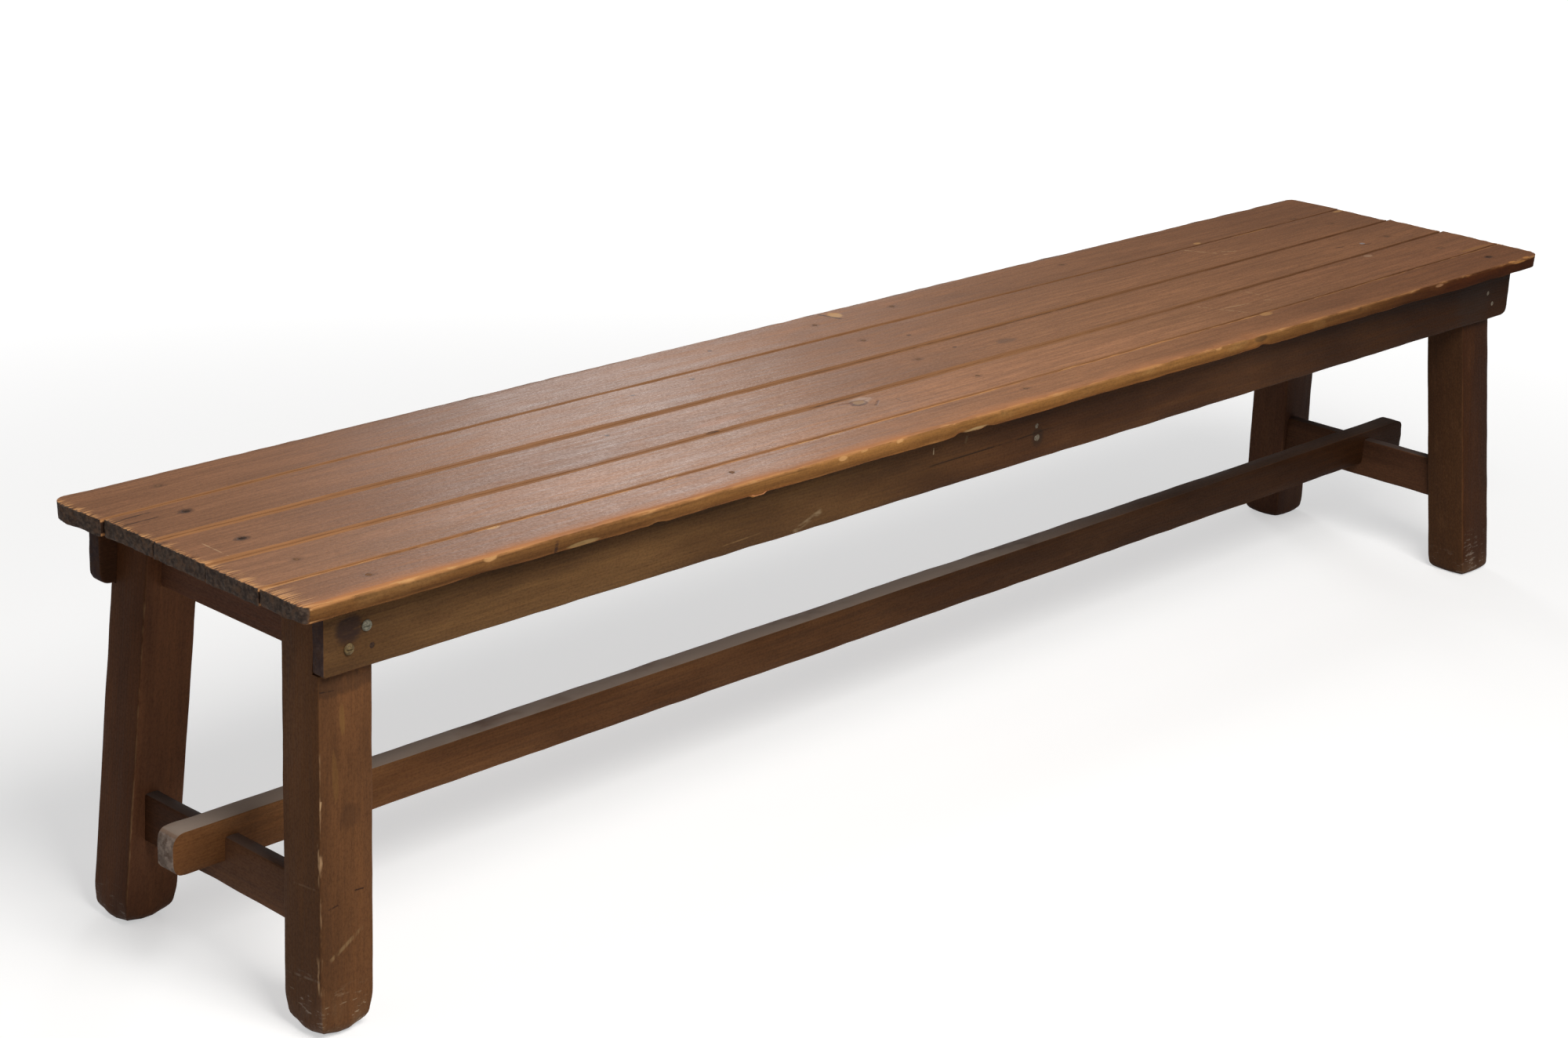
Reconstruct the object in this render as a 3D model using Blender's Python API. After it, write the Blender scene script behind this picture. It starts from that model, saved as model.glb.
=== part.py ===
"""A long plank-topped bench: five seat boards on a splayed-leg frame, nailed, lapped and tenoned."""

from math import cos, pi, radians, sin, tan

import bmesh
import bpy
from mathutils import Vector

# Clearances
FIT_GAP = 0.0003  # left between any two pieces that touch
CUT_OVERRUN = 0.006  # how far a cutter runs past the face it cuts
WELD_DISTANCE = 0.000003

# Seat boards, numbered from the back edge to the front edge
SEAT_HEIGHT = 0.463
BOARD_THICKNESS = 0.019
SEAM_GAP = 0.0009
BOARD_ARRIS = 0.0026
BOARD_1_WIDTH_LEFT = 0.0748
BOARD_1_WIDTH_RIGHT = 0.0855
BOARD_2_WIDTH_LEFT = 0.0944
BOARD_2_WIDTH_RIGHT = 0.0889
BOARD_3_WIDTH_LEFT = 0.0911
BOARD_3_WIDTH_RIGHT = 0.0868
BOARD_4_WIDTH_LEFT = 0.0777
BOARD_4_WIDTH_RIGHT = 0.0870
BOARD_5_WIDTH_LEFT = 0.0695
BOARD_5_WIDTH_RIGHT = 0.0682
SEAT_OVERHANG_LEFT = 0.0415  # from the legs' outer faces, at the bottom of the aprons
SEAT_OVERHANG_RIGHT = 0.0482
BOARD_1_EXTRA_LEFT = 0.0060  # how much further than the shortest board this one reaches
BOARD_2_EXTRA_LEFT = 0.0002
BOARD_3_EXTRA_LEFT = 0.0005
BOARD_4_EXTRA_LEFT = 0.0016
BOARD_5_EXTRA_LEFT = 0.0008
BOARD_1_EXTRA_RIGHT = 0.0043
BOARD_2_EXTRA_RIGHT = 0.0003
BOARD_3_EXTRA_RIGHT = 0.0078
BOARD_4_EXTRA_RIGHT = 0.0130
BOARD_5_EXTRA_RIGHT = 0.0124
CORNER_RADIUS_BACK_LEFT = 0.024
CORNER_RADIUS_BACK_RIGHT = 0.012
CORNER_RADIUS_FRONT_LEFT = 0.011
CORNER_RADIUS_FRONT_RIGHT = 0.022
INNER_CORNER_RADIUS = 0.0038

# Aprons
APRON_THICKNESS = 0.019
APRON_HEIGHT = 0.070
APRON_SETBACK = 0.0245  # from the edge of the seat at its narrow end
APRON_ARRIS = 0.0015
APRON_CORNER_RADIUS = 0.014
APRON_FLUSH_CORNER_RADIUS = 0.004
FRONT_APRON_PAST_LEFT = 0.0015  # past the legs' outer faces
FRONT_APRON_PAST_RIGHT = 0.0325
BACK_APRON_PAST_LEFT = 0.0195
BACK_APRON_PAST_RIGHT = 0.0210

# Legs: their outer faces are placed at the bottom of the aprons and lean out from there
LEG_SPREAD = 2.057  # outer face to outer face along the bench
LEG_WIDTH = 0.0635  # along the bench
LEG_DEPTH = 0.059  # across the bench
LEG_STEP_BACK = 0.009  # leg face behind the apron's face
LEG_ARRIS = 0.004
FOOT_ROUND_LEFT = 0.014
FOOT_ROUND_RIGHT = 0.008
LEAN_ALONG_LEFT = radians(3.4)
LEAN_ALONG_RIGHT = radians(4.8)
LEAN_ACROSS_FRONT_LEFT = radians(4.3)
LEAN_ACROSS_BACK_LEFT = radians(3.2)
LEAN_ACROSS_FRONT_RIGHT = radians(4.4)
LEAN_ACROSS_BACK_RIGHT = radians(2.3)

# Rails under the seat
END_RAIL_THICKNESS = 0.021
END_RAIL_HEIGHT = 0.064
END_RAIL_INSET = 0.018  # from the legs' outer faces
MIDDLE_RAIL_THICKNESS = 0.038
MIDDLE_RAIL_HEIGHT = 0.062
MIDDLE_RAIL_X = 0.010
RAIL_ARRIS = 0.0015
RAIL_TENON_THICKNESS = 0.010
RAIL_TENON_HEIGHT = 0.034
TENON_DEPTH = 0.022

# Low stretchers
CROSS_BOTTOM = 0.105  # the right one's underside
CROSS_DROP_LEFT = 0.009  # how much lower the left one sits
CROSS_HEIGHT = 0.056
CROSS_THICKNESS = 0.019
CROSS_INSET_LEFT = 0.0165  # from the left-hand faces of their legs
CROSS_INSET_RIGHT = 0.0055
CROSS_ARRIS = 0.003
CROSS_TENON_THICKNESS = 0.011
CROSS_TENON_HEIGHT = 0.036
LONG_THICKNESS = 0.028
LONG_HEIGHT = 0.048
LONG_RISE = 0.019  # its underside above the right cross stretcher's underside
LONG_TAIL = 0.0615  # past the legs' outer faces
LONG_ARRIS = 0.003
TAIL_ROUND = 0.006

# Wire nails
NAIL_LENGTH = 0.045
NAIL_POINT = 0.005
NAIL_SHANK_RADIUS = 0.0014
NAIL_HEAD_RADIUS = 0.0031
NAIL_HEAD_THICKNESS = 0.0012
NAIL_SINK = 0.0005
NAIL_SIDES = 10
EDGE_NAIL_SHIFT = 0.030  # the outer boards' end nails stand this far inboard of the end rail

# Round-headed wood screws
SCREW_LENGTH = 0.040
SCREW_POINT = 0.008
SCREW_SHANK_RADIUS = 0.0025
SCREW_HEAD_RADIUS = 0.006
SCREW_HEAD_HEIGHT = 0.003
SCREW_SLOT_WIDTH = 0.0013
SCREW_SLOT_DEPTH = 0.0014
SCREW_SIDES = 16
DOME_STEPS = 4

# Places of the apron fasteners: shares of the leg's width, inward from its outer face, and of the
# apron's height, down from the seat
LEFT_SCREW_SHARES = {1: (0.795, 0.386), 2: (0.457, 0.657)}
LEFT_NAIL_SHARES = (0.906, 0.707)
RIGHT_NAIL_SHARES = {1: (0.370, 0.443), 2: (0.150, 0.686)}
MIDDLE_NAIL_DOWN_SHARES = {1: 0.400, 2: 0.614}
MIDDLE_APRON_NAIL_SHARE = 0.31  # of the middle rail's thickness

# Places of the seat nails: shares of a rail's thickness, along the bench from its middle, and of the
# width in which a board lies over what the nail goes into, towards the back from the middle of it
LEFT_ROW_SHARES = {2: (0.25, 0.23), 3: (0.0, 0.0), 4: (0.25, -0.19)}
MIDDLE_ROW_SHARES = {2: (-0.12, 0.06), 3: (-0.33, 0.0), 4: (-0.20, -0.05)}
RIGHT_ROW_SHARES = {2: (-0.28, 0.12), 3: (-0.15, -0.04), 4: (0.05, -0.37)}
MIDDLE_EDGE_NAIL_SHARE = -0.06
BACK_RIGHT_NAIL_SHARES = (0.84, -0.32)  # of the leg's width from its outer face, and of the shared width
FRONT_RIGHT_NAIL_SHARE = 0.20  # of the leg's width, from its outer face
FRONT_QUARTER_NAIL_SHARE = -0.465  # along the half length of the frame
BACK_QUARTER_NAIL_SHARE = 0.477
BACK_NEAR_NAIL_SHARE = 0.146

# How rounded edges are cut and told apart
ARRIS_SEGMENTS = 2
ROUND_SEGMENTS = 4
ROUND_PROFILE_SHARE = 0.5
AXIS_ANGLE = radians(12)  # an edge this near to an axis counts as lying along it
SHARP_ANGLE = radians(60)
SMOOTH_ANGLE = radians(40)

BOARD_WIDTHS = {
    1: (BOARD_1_WIDTH_LEFT, BOARD_1_WIDTH_RIGHT),
    2: (BOARD_2_WIDTH_LEFT, BOARD_2_WIDTH_RIGHT),
    3: (BOARD_3_WIDTH_LEFT, BOARD_3_WIDTH_RIGHT),
    4: (BOARD_4_WIDTH_LEFT, BOARD_4_WIDTH_RIGHT),
    5: (BOARD_5_WIDTH_LEFT, BOARD_5_WIDTH_RIGHT),
}
BOARD_EXTRAS = {
    1: (BOARD_1_EXTRA_LEFT, BOARD_1_EXTRA_RIGHT),
    2: (BOARD_2_EXTRA_LEFT, BOARD_2_EXTRA_RIGHT),
    3: (BOARD_3_EXTRA_LEFT, BOARD_3_EXTRA_RIGHT),
    4: (BOARD_4_EXTRA_LEFT, BOARD_4_EXTRA_RIGHT),
    5: (BOARD_5_EXTRA_LEFT, BOARD_5_EXTRA_RIGHT),
}
CROSS_INSET = {"left": CROSS_INSET_LEFT, "right": CROSS_INSET_RIGHT}
FOOT_ROUND = {"left": FOOT_ROUND_LEFT, "right": FOOT_ROUND_RIGHT}
LEAN_ALONG = {"left": LEAN_ALONG_LEFT, "right": LEAN_ALONG_RIGHT}
LEAN_ACROSS = {
    ("front", "left"): LEAN_ACROSS_FRONT_LEFT,
    ("back", "left"): LEAN_ACROSS_BACK_LEFT,
    ("front", "right"): LEAN_ACROSS_FRONT_RIGHT,
    ("back", "right"): LEAN_ACROSS_BACK_RIGHT,
}
END_SIGN = {"left": -1, "right": 1}
SIDE_SIGN = {"front": -1, "back": 1}

# Heights and half sizes that follow from the values above
seat_underside = SEAT_HEIGHT - BOARD_THICKNESS
frame_top = seat_underside - FIT_GAP
apron_bottom = frame_top - APRON_HEIGHT
end_rail_bottom = frame_top - END_RAIL_HEIGHT
middle_rail_bottom = frame_top - MIDDLE_RAIL_HEIGHT
cross_bottom = {"left": CROSS_BOTTOM - CROSS_DROP_LEFT, "right": CROSS_BOTTOM}
long_bottom = CROSS_BOTTOM + LONG_RISE
long_top = long_bottom + LONG_HEIGHT
seat_half_left = sum(left for left, right in BOARD_WIDTHS.values()) / 2
seat_half_right = sum(right for left, right in BOARD_WIDTHS.values()) / 2
frame_half = min(seat_half_left, seat_half_right) - APRON_SETBACK  # to the aprons' outer faces
spread_half = LEG_SPREAD / 2
seat_end = {"left": -spread_half - SEAT_OVERHANG_LEFT, "right": spread_half + SEAT_OVERHANG_RIGHT}


def leg_outer_x(end, z):
    """The face of the legs that looks along the bench, at a height."""
    return END_SIGN[end] * (spread_half + tan(LEAN_ALONG[end]) * (apron_bottom - z))


def leg_left_x(end, z):
    """The left-hand face of a pair of legs at a height."""
    return leg_outer_x(end, z) - (LEG_WIDTH if end == "right" else 0)


def leg_outer_y(side, end, z):
    lean = tan(LEAN_ACROSS[side, end]) * (apron_bottom - z)
    return SIDE_SIGN[side] * (frame_half - LEG_STEP_BACK + lean)


def leg_inner_y(side, end, z):
    return leg_outer_y(side, end, z) - SIDE_SIGN[side] * LEG_DEPTH


def seam_y(seam, x):
    """How far across the seat a seam lies, seam 0 being the back edge and seam 5 the front one."""
    share = (x - seat_end["left"]) / (seat_end["right"] - seat_end["left"])
    left = seat_half_left - sum(BOARD_WIDTHS[n][0] for n in range(1, seam + 1))
    right = seat_half_right - sum(BOARD_WIDTHS[n][1] for n in range(1, seam + 1))
    return left + (right - left) * share


def over(board, x, under_front, under_back, across_share):
    """A point on a board over what lies under it, a share of their shared width from its middle."""
    back = min(seam_y(board - 1, x), under_back)
    front = max(seam_y(board, x), under_front)
    return x, (back + front) / 2 + across_share * (back - front)


def clear_scene():
    for obj in list(bpy.data.objects):
        bpy.data.objects.remove(obj, do_unlink=True)


def linear(channel):
    """One sRGB channel, 0 to 255, as the linear value a shader takes."""
    value = channel / 255
    return value / 12.92 if value <= 0.04045 else ((value + 0.055) / 1.055) ** 2.4


def material(name, srgb, roughness, metallic=0.0):
    made = bpy.data.materials.new(name)
    made.use_nodes = True
    shader = made.node_tree.nodes["Principled BSDF"]
    shader.inputs["Base Color"].default_value = (*(linear(c) for c in srgb), 1.0)
    shader.inputs["Roughness"].default_value = roughness
    shader.inputs["Metallic"].default_value = metallic
    return made


def finish_mesh(bm, name):
    bmesh.ops.recalc_face_normals(bm, faces=bm.faces)
    mesh = bpy.data.meshes.new(name)
    bm.to_mesh(mesh)
    bm.free()
    return mesh


def add_piece(name, mesh, location, finish, parent):
    mesh.materials.clear()
    mesh.materials.append(finish)
    piece = bpy.data.objects.new(name, mesh)
    bpy.context.scene.collection.objects.link(piece)
    piece.location = location
    piece.parent = parent
    return piece


def add_tool(name, mesh, location=(0, 0, 0)):
    """A hidden solid that cuts another, or is joined to it."""
    tool = bpy.data.objects.new(name, mesh)
    bpy.context.scene.collection.objects.link(tool)
    tool.location = location
    tool.hide_render = True
    tool.display_type = "WIRE"
    return tool


def combine(piece, tool, operation):
    modifier = piece.modifiers.new(tool.name, "BOOLEAN")
    modifier.operation = operation
    modifier.solver = "EXACT"
    modifier.object = tool


def cut(piece, tool):
    combine(piece, tool, "DIFFERENCE")


def block(low, high):
    """A box between two corners."""
    low = Vector(low)
    high = Vector(high)
    bm = bmesh.new()
    bmesh.ops.create_cube(bm, size=1.0)
    bmesh.ops.scale(bm, vec=high - low, verts=bm.verts)
    bmesh.ops.translate(bm, vec=(low + high) / 2, verts=bm.verts)
    return bm


def add_block_tool(name, low, high):
    return add_tool(name, finish_mesh(block(low, high), name))


def bevel_edges(bm, edges, radius, segments):
    bmesh.ops.bevel(
        bm, geom=edges, offset=radius, offset_type="OFFSET", segments=segments,
        profile=ROUND_PROFILE_SHARE, affect="EDGES", clamp_overlap=True,
    )


def along_axis(edge, axis):
    """Whether an edge runs nearly along one of the axes."""
    direction = (edge.verts[1].co - edge.verts[0].co).normalized()
    return abs(direction[axis]) > cos(AXIS_ANGLE)


def sharp_edges(bm):
    return [e for e in bm.edges if e.is_manifold and e.calc_face_angle() > SHARP_ANGLE]


def turned(profile, sides):
    """A solid of revolution about Z from (radius, height) points that start and end on the axis."""
    bm = bmesh.new()
    verts = [bm.verts.new((radius, 0, height)) for radius, height in profile]
    edges = [bm.edges.new(pair) for pair in zip(verts, verts[1:])]
    bmesh.ops.spin(
        bm, geom=verts + edges, cent=(0, 0, 0), axis=(0, 0, 1), angle=2 * pi, steps=sides, use_merge=True
    )
    bmesh.ops.remove_doubles(bm, verts=bm.verts, dist=WELD_DISTANCE)
    return bm


def smooth(mesh):
    mesh.shade_smooth()
    mesh.set_sharp_from_angle(angle=SMOOTH_ANGLE)


def nail_profile(grow):
    """A nail's outline, its head's top at height zero. Grown, it is the hole that takes the nail."""
    top = CUT_OVERRUN if grow else 0
    head = NAIL_HEAD_RADIUS + grow
    shank = NAIL_SHANK_RADIUS + grow
    under = -NAIL_HEAD_THICKNESS - grow
    return [
        (0, top),
        (head, top),
        (head, under),
        (shank, under),
        (shank, NAIL_POINT - NAIL_LENGTH),
        (0, -NAIL_LENGTH - grow),
    ]


def screw_profile():
    """A screw's outline with its domed head standing on the surface at height zero."""
    angles = [pi / 2 * (1 - step / DOME_STEPS) for step in range(DOME_STEPS + 1)]
    dome = [(SCREW_HEAD_RADIUS * cos(a), FIT_GAP + SCREW_HEAD_HEIGHT * sin(a)) for a in angles]
    dome[0] = (0, dome[0][1])
    return dome + [
        (SCREW_SHANK_RADIUS, FIT_GAP),
        (SCREW_SHANK_RADIUS, SCREW_POINT - SCREW_LENGTH),
        (0, -SCREW_LENGTH),
    ]


def screw_hole_profile():
    shank = SCREW_SHANK_RADIUS + FIT_GAP
    return [
        (0, CUT_OVERRUN),
        (shank, CUT_OVERRUN),
        (shank, SCREW_POINT - SCREW_LENGTH),
        (0, -SCREW_LENGTH - FIT_GAP),
    ]


def screw_mesh():
    """The screw with its slot cut, made once and shared by every screw."""
    blank = add_tool("screw_blank", finish_mesh(turned(screw_profile(), SCREW_SIDES), "screw_blank"))
    top = FIT_GAP + SCREW_HEAD_HEIGHT
    reach = SCREW_HEAD_RADIUS + CUT_OVERRUN
    half = SCREW_SLOT_WIDTH / 2
    floor = top - SCREW_SLOT_DEPTH
    slot = add_block_tool("screw_slot", (-reach, -half, floor), (reach, half, top + CUT_OVERRUN))
    cut(blank, slot)
    graph = bpy.context.evaluated_depsgraph_get()
    made = bpy.data.meshes.new_from_object(blank.evaluated_get(graph))
    made.name = "screw"
    for helper in (blank, slot):
        bpy.data.objects.remove(helper, do_unlink=True)
    smooth(made)
    return made


class Fasteners:
    """Makes nails and screws, and the holes for them in the pieces they pass through."""

    def __init__(self, pieces, nail_finish, screw_finish, parent):
        self.pieces = pieces
        self.parent = parent
        self.nail_finish = nail_finish
        self.screw_finish = screw_finish
        self.nail = finish_mesh(turned(nail_profile(0), NAIL_SIDES), "nail")
        smooth(self.nail)
        self.nail_hole = finish_mesh(turned(nail_profile(FIT_GAP), NAIL_SIDES), "nail_hole")
        self.screw = screw_mesh()
        self.screw_hole = finish_mesh(turned(screw_hole_profile(), SCREW_SIDES), "screw_hole")

    def drive(self, name, shape, hole, finish, location, turn, through):
        fastener = add_piece(name, shape, location, finish, self.parent)
        fastener.rotation_euler = turn
        tool = add_tool(name + "_hole", hole, location)
        tool.rotation_euler = turn
        for piece in through:
            cut(self.pieces[piece], tool)

    def nail_down(self, name, place, surface, through):
        location = (*place, surface - NAIL_SINK)
        self.drive(name, self.nail, self.nail_hole, self.nail_finish, location, (0, 0, 0), through)

    def nail_in(self, name, side, x, z, through):
        """A nail driven square into the outer face of an apron."""
        location = (x, SIDE_SIGN[side] * (frame_half - NAIL_SINK), z)
        turn = (-SIDE_SIGN[side] * pi / 2, 0, 0)
        self.drive(name, self.nail, self.nail_hole, self.nail_finish, location, turn, through)

    def screw_in(self, name, side, x, z, through):
        location = (x, SIDE_SIGN[side] * frame_half, z)
        turn = (-SIDE_SIGN[side] * pi / 2, 0, 0)
        self.drive(name, self.screw, self.screw_hole, self.screw_finish, location, turn, through)


def corner_radius(board, side, end):
    """The rounding of one corner of a board's outline."""
    outer = {
        (1, "back", "left"): CORNER_RADIUS_BACK_LEFT,
        (1, "back", "right"): CORNER_RADIUS_BACK_RIGHT,
        (5, "front", "left"): CORNER_RADIUS_FRONT_LEFT,
        (5, "front", "right"): CORNER_RADIUS_FRONT_RIGHT,
    }
    return outer.get((board, side, end), INNER_CORNER_RADIUS)


def seat_board(board, finish, parent):
    """One plank of the seat, a little tapered, with its corners and arrises worn round."""
    extra_left, extra_right = BOARD_EXTRAS[board]
    ends = {"left": seat_end["left"] - extra_left, "right": seat_end["right"] + extra_right}
    middle = ((ends["left"] + ends["right"]) / 2, seam_y(board, 0), SEAT_HEIGHT - BOARD_THICKNESS / 2)
    bm = block(
        (ends["left"] - middle[0], 0, -BOARD_THICKNESS / 2),
        (ends["right"] - middle[0], seam_y(board - 1, 0) - middle[1], BOARD_THICKNESS / 2),
    )
    back_gap = SEAM_GAP / 2 if board > 1 else 0
    front_gap = SEAM_GAP / 2 if board < len(BOARD_WIDTHS) else 0
    for vert in bm.verts:
        x = vert.co.x + middle[0]
        if vert.co.y > 0:
            vert.co.y = seam_y(board - 1, x) - back_gap - middle[1]
        else:
            vert.co.y = seam_y(board, x) + front_gap - middle[1]
    for edge in [e for e in bm.edges if along_axis(e, 2)]:
        at = (edge.verts[0].co + edge.verts[1].co) / 2
        centre = (seam_y(board - 1, 0) + seam_y(board, 0)) / 2 - middle[1]
        side = "back" if at.y > centre else "front"
        end = "right" if at.x > 0 else "left"
        bevel_edges(bm, [edge], corner_radius(board, side, end), ROUND_SEGMENTS)
    rim = [e for e in sharp_edges(bm) if not along_axis(e, 2)]
    bevel_edges(bm, rim, BOARD_ARRIS, ARRIS_SEGMENTS)
    return add_piece(f"seat_board_{board}", finish_mesh(bm, f"seat_board_{board}"), middle, finish, parent)


def apron(side, past_left, past_right, left_radius, right_radius, finish, parent):
    """A long side board, let into the legs, with its lower corners rounded."""
    low_x = -spread_half - past_left
    high_x = spread_half + past_right
    middle = (
        (low_x + high_x) / 2,
        SIDE_SIGN[side] * (frame_half - APRON_THICKNESS / 2),
        frame_top - APRON_HEIGHT / 2,
    )
    half = Vector(((high_x - low_x) / 2, APRON_THICKNESS / 2, APRON_HEIGHT / 2))
    bm = block(-half, half)
    for sign, radius in ((-1, left_radius), (1, right_radius)):
        lower = [
            e for e in bm.edges
            if along_axis(e, 1) and all(v.co.z < 0 and v.co.x * sign > 0 for v in e.verts)
        ]
        bevel_edges(bm, lower, radius, ROUND_SEGMENTS)
    bevel_edges(bm, [e for e in sharp_edges(bm) if not along_axis(e, 1)], APRON_ARRIS, ARRIS_SEGMENTS)
    return add_piece(f"{side}_apron", finish_mesh(bm, f"{side}_apron"), middle, finish, parent)


def leg(side, end, finish, parent):
    """A splayed post, cut level at its foot and top, placed by the middle of its foot."""
    sign_x = END_SIGN[end]
    sign_y = SIDE_SIGN[side]

    def centre(z):
        return Vector((
            leg_outer_x(end, z) - sign_x * LEG_WIDTH / 2,
            leg_outer_y(side, end, z) - sign_y * LEG_DEPTH / 2,
            z,
        ))

    foot = centre(0)
    bm = block((-LEG_WIDTH / 2, -LEG_DEPTH / 2, 0), (LEG_WIDTH / 2, LEG_DEPTH / 2, frame_top))
    shift = centre(frame_top) - foot
    for vert in bm.verts:
        if vert.co.z > 0:
            vert.co.x += shift.x
            vert.co.y += shift.y
    sole = [e for e in bm.edges if all(v.co.z < frame_top / 2 for v in e.verts)]
    bevel_edges(bm, sole, FOOT_ROUND[end], ROUND_SEGMENTS)
    corners = [e for e in bm.edges if along_axis(e, 2) and e.calc_length() > apron_bottom]
    bevel_edges(bm, corners, LEG_ARRIS, ARRIS_SEGMENTS)
    name = f"leg_{side}_{end}"
    post = add_piece(name, finish_mesh(bm, name), foot, finish, parent)
    cut(post, apron_seat_tool(side, end))
    return post


def apron_seat_tool(side, end):
    """Cuts the upright seat that an apron is let into across a leg's outer face."""
    outer = END_SIGN[end] * (spread_half + CUT_OVERRUN)
    inner = leg_outer_x(end, frame_top) - END_SIGN[end] * (LEG_WIDTH + CUT_OVERRUN)
    near = SIDE_SIGN[side] * (frame_half - APRON_THICKNESS - FIT_GAP)
    far = SIDE_SIGN[side] * (frame_half + CUT_OVERRUN)
    low = (min(outer, inner), min(near, far), apron_bottom - FIT_GAP)
    high = (max(outer, inner), max(near, far), frame_top + CUT_OVERRUN)
    return add_block_tool(f"apron_seat_{side}_{end}", low, high)


def tenoned_bar(name, end, x_low, thickness, z_low, height, arris, tenon, finish, parent, posts):
    """A bar between a pair of legs whose shoulders follow the legs' lean, tenoned into both."""
    tenon_thickness, tenon_height = tenon
    middle = Vector((x_low + thickness / 2, 0, z_low + height / 2))

    def shoulder(side, z):
        return leg_inner_y(side, end, z) - SIDE_SIGN[side] * FIT_GAP

    bm = block((-thickness / 2, -height, -height / 2), (thickness / 2, height, height / 2))
    for vert in bm.verts:
        vert.co.y = shoulder("back" if vert.co.y > 0 else "front", vert.co.z + middle.z)
    bevel_edges(bm, [e for e in bm.edges if along_axis(e, 1)], arris, ARRIS_SEGMENTS)
    bar = add_piece(name, finish_mesh(bm, name), middle, finish, parent)

    ends = {side: leg_inner_y(side, end, middle.z) + SIDE_SIGN[side] * TENON_DEPTH for side in SIDE_SIGN}
    half = Vector((tenon_thickness / 2, 0, tenon_height / 2))
    core = add_block_tool(
        f"{name}_tenons",
        (middle.x - half.x, ends["front"], middle.z - half.z),
        (middle.x + half.x, ends["back"], middle.z + half.z),
    )
    combine(bar, core, "UNION")
    mortise = add_block_tool(
        f"{name}_mortises",
        (middle.x - half.x - FIT_GAP, ends["front"] - FIT_GAP, middle.z - half.z - FIT_GAP),
        (middle.x + half.x + FIT_GAP, ends["back"] + FIT_GAP, middle.z + half.z + FIT_GAP),
    )
    for post in posts:
        cut(post, mortise)
    return bar


def middle_rail(finish, parent):
    """A batten under the middle of the seat, butted between the aprons."""
    reach = frame_half - APRON_THICKNESS - FIT_GAP
    centre = Vector((MIDDLE_RAIL_X, 0, middle_rail_bottom + MIDDLE_RAIL_HEIGHT / 2))
    half = Vector((MIDDLE_RAIL_THICKNESS / 2, reach, MIDDLE_RAIL_HEIGHT / 2))
    bm = block(-half, half)
    bevel_edges(bm, [e for e in bm.edges if along_axis(e, 1)], RAIL_ARRIS, ARRIS_SEGMENTS)
    return add_piece("middle_rail", finish_mesh(bm, "middle_rail"), centre, finish, parent)


def long_stretcher(crosses, finish, parent):
    """The bar along the bench, halved over both cross stretchers, its tails left long."""
    half = Vector((spread_half + LONG_TAIL, LONG_THICKNESS / 2, LONG_HEIGHT / 2))
    centre = Vector((0, 0, (long_bottom + long_top) / 2))
    bm = block(-half, half)
    bevel_edges(bm, [e for e in bm.edges if not along_axis(e, 0)], TAIL_ROUND, ROUND_SEGMENTS)
    bevel_edges(bm, [e for e in sharp_edges(bm) if along_axis(e, 0)], LONG_ARRIS, ARRIS_SEGMENTS)
    bar = add_piece("long_stretcher", finish_mesh(bm, "long_stretcher"), centre, finish, parent)
    side = LONG_THICKNESS / 2 + FIT_GAP
    for end, cross in crosses.items():
        cross_top = cross_bottom[end] + CROSS_HEIGHT
        lap_level = (long_bottom + cross_top) / 2
        low_x = cross_left_x(end) - FIT_GAP
        high_x = cross_left_x(end) + CROSS_THICKNESS + FIT_GAP
        half_lap = add_block_tool(
            f"long_lap_{end}",
            (low_x, -half.y - CUT_OVERRUN, long_bottom - CUT_OVERRUN),
            (high_x, half.y + CUT_OVERRUN, lap_level + FIT_GAP),
        )
        cut(bar, half_lap)
        cross_lap = add_block_tool(
            f"cross_lap_{end}",
            (low_x - CUT_OVERRUN, -side, lap_level),
            (high_x + CUT_OVERRUN, side, cross_top + CUT_OVERRUN),
        )
        cut(cross, cross_lap)
    return bar


def cross_left_x(end):
    return leg_left_x(end, cross_bottom[end] + CROSS_HEIGHT / 2) + CROSS_INSET[end]


def end_rail_left_x(end):
    inset = END_RAIL_INSET if end == "left" else -END_RAIL_INSET - END_RAIL_THICKNESS
    return leg_outer_x(end, end_rail_bottom + END_RAIL_HEIGHT / 2) + inset


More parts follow.
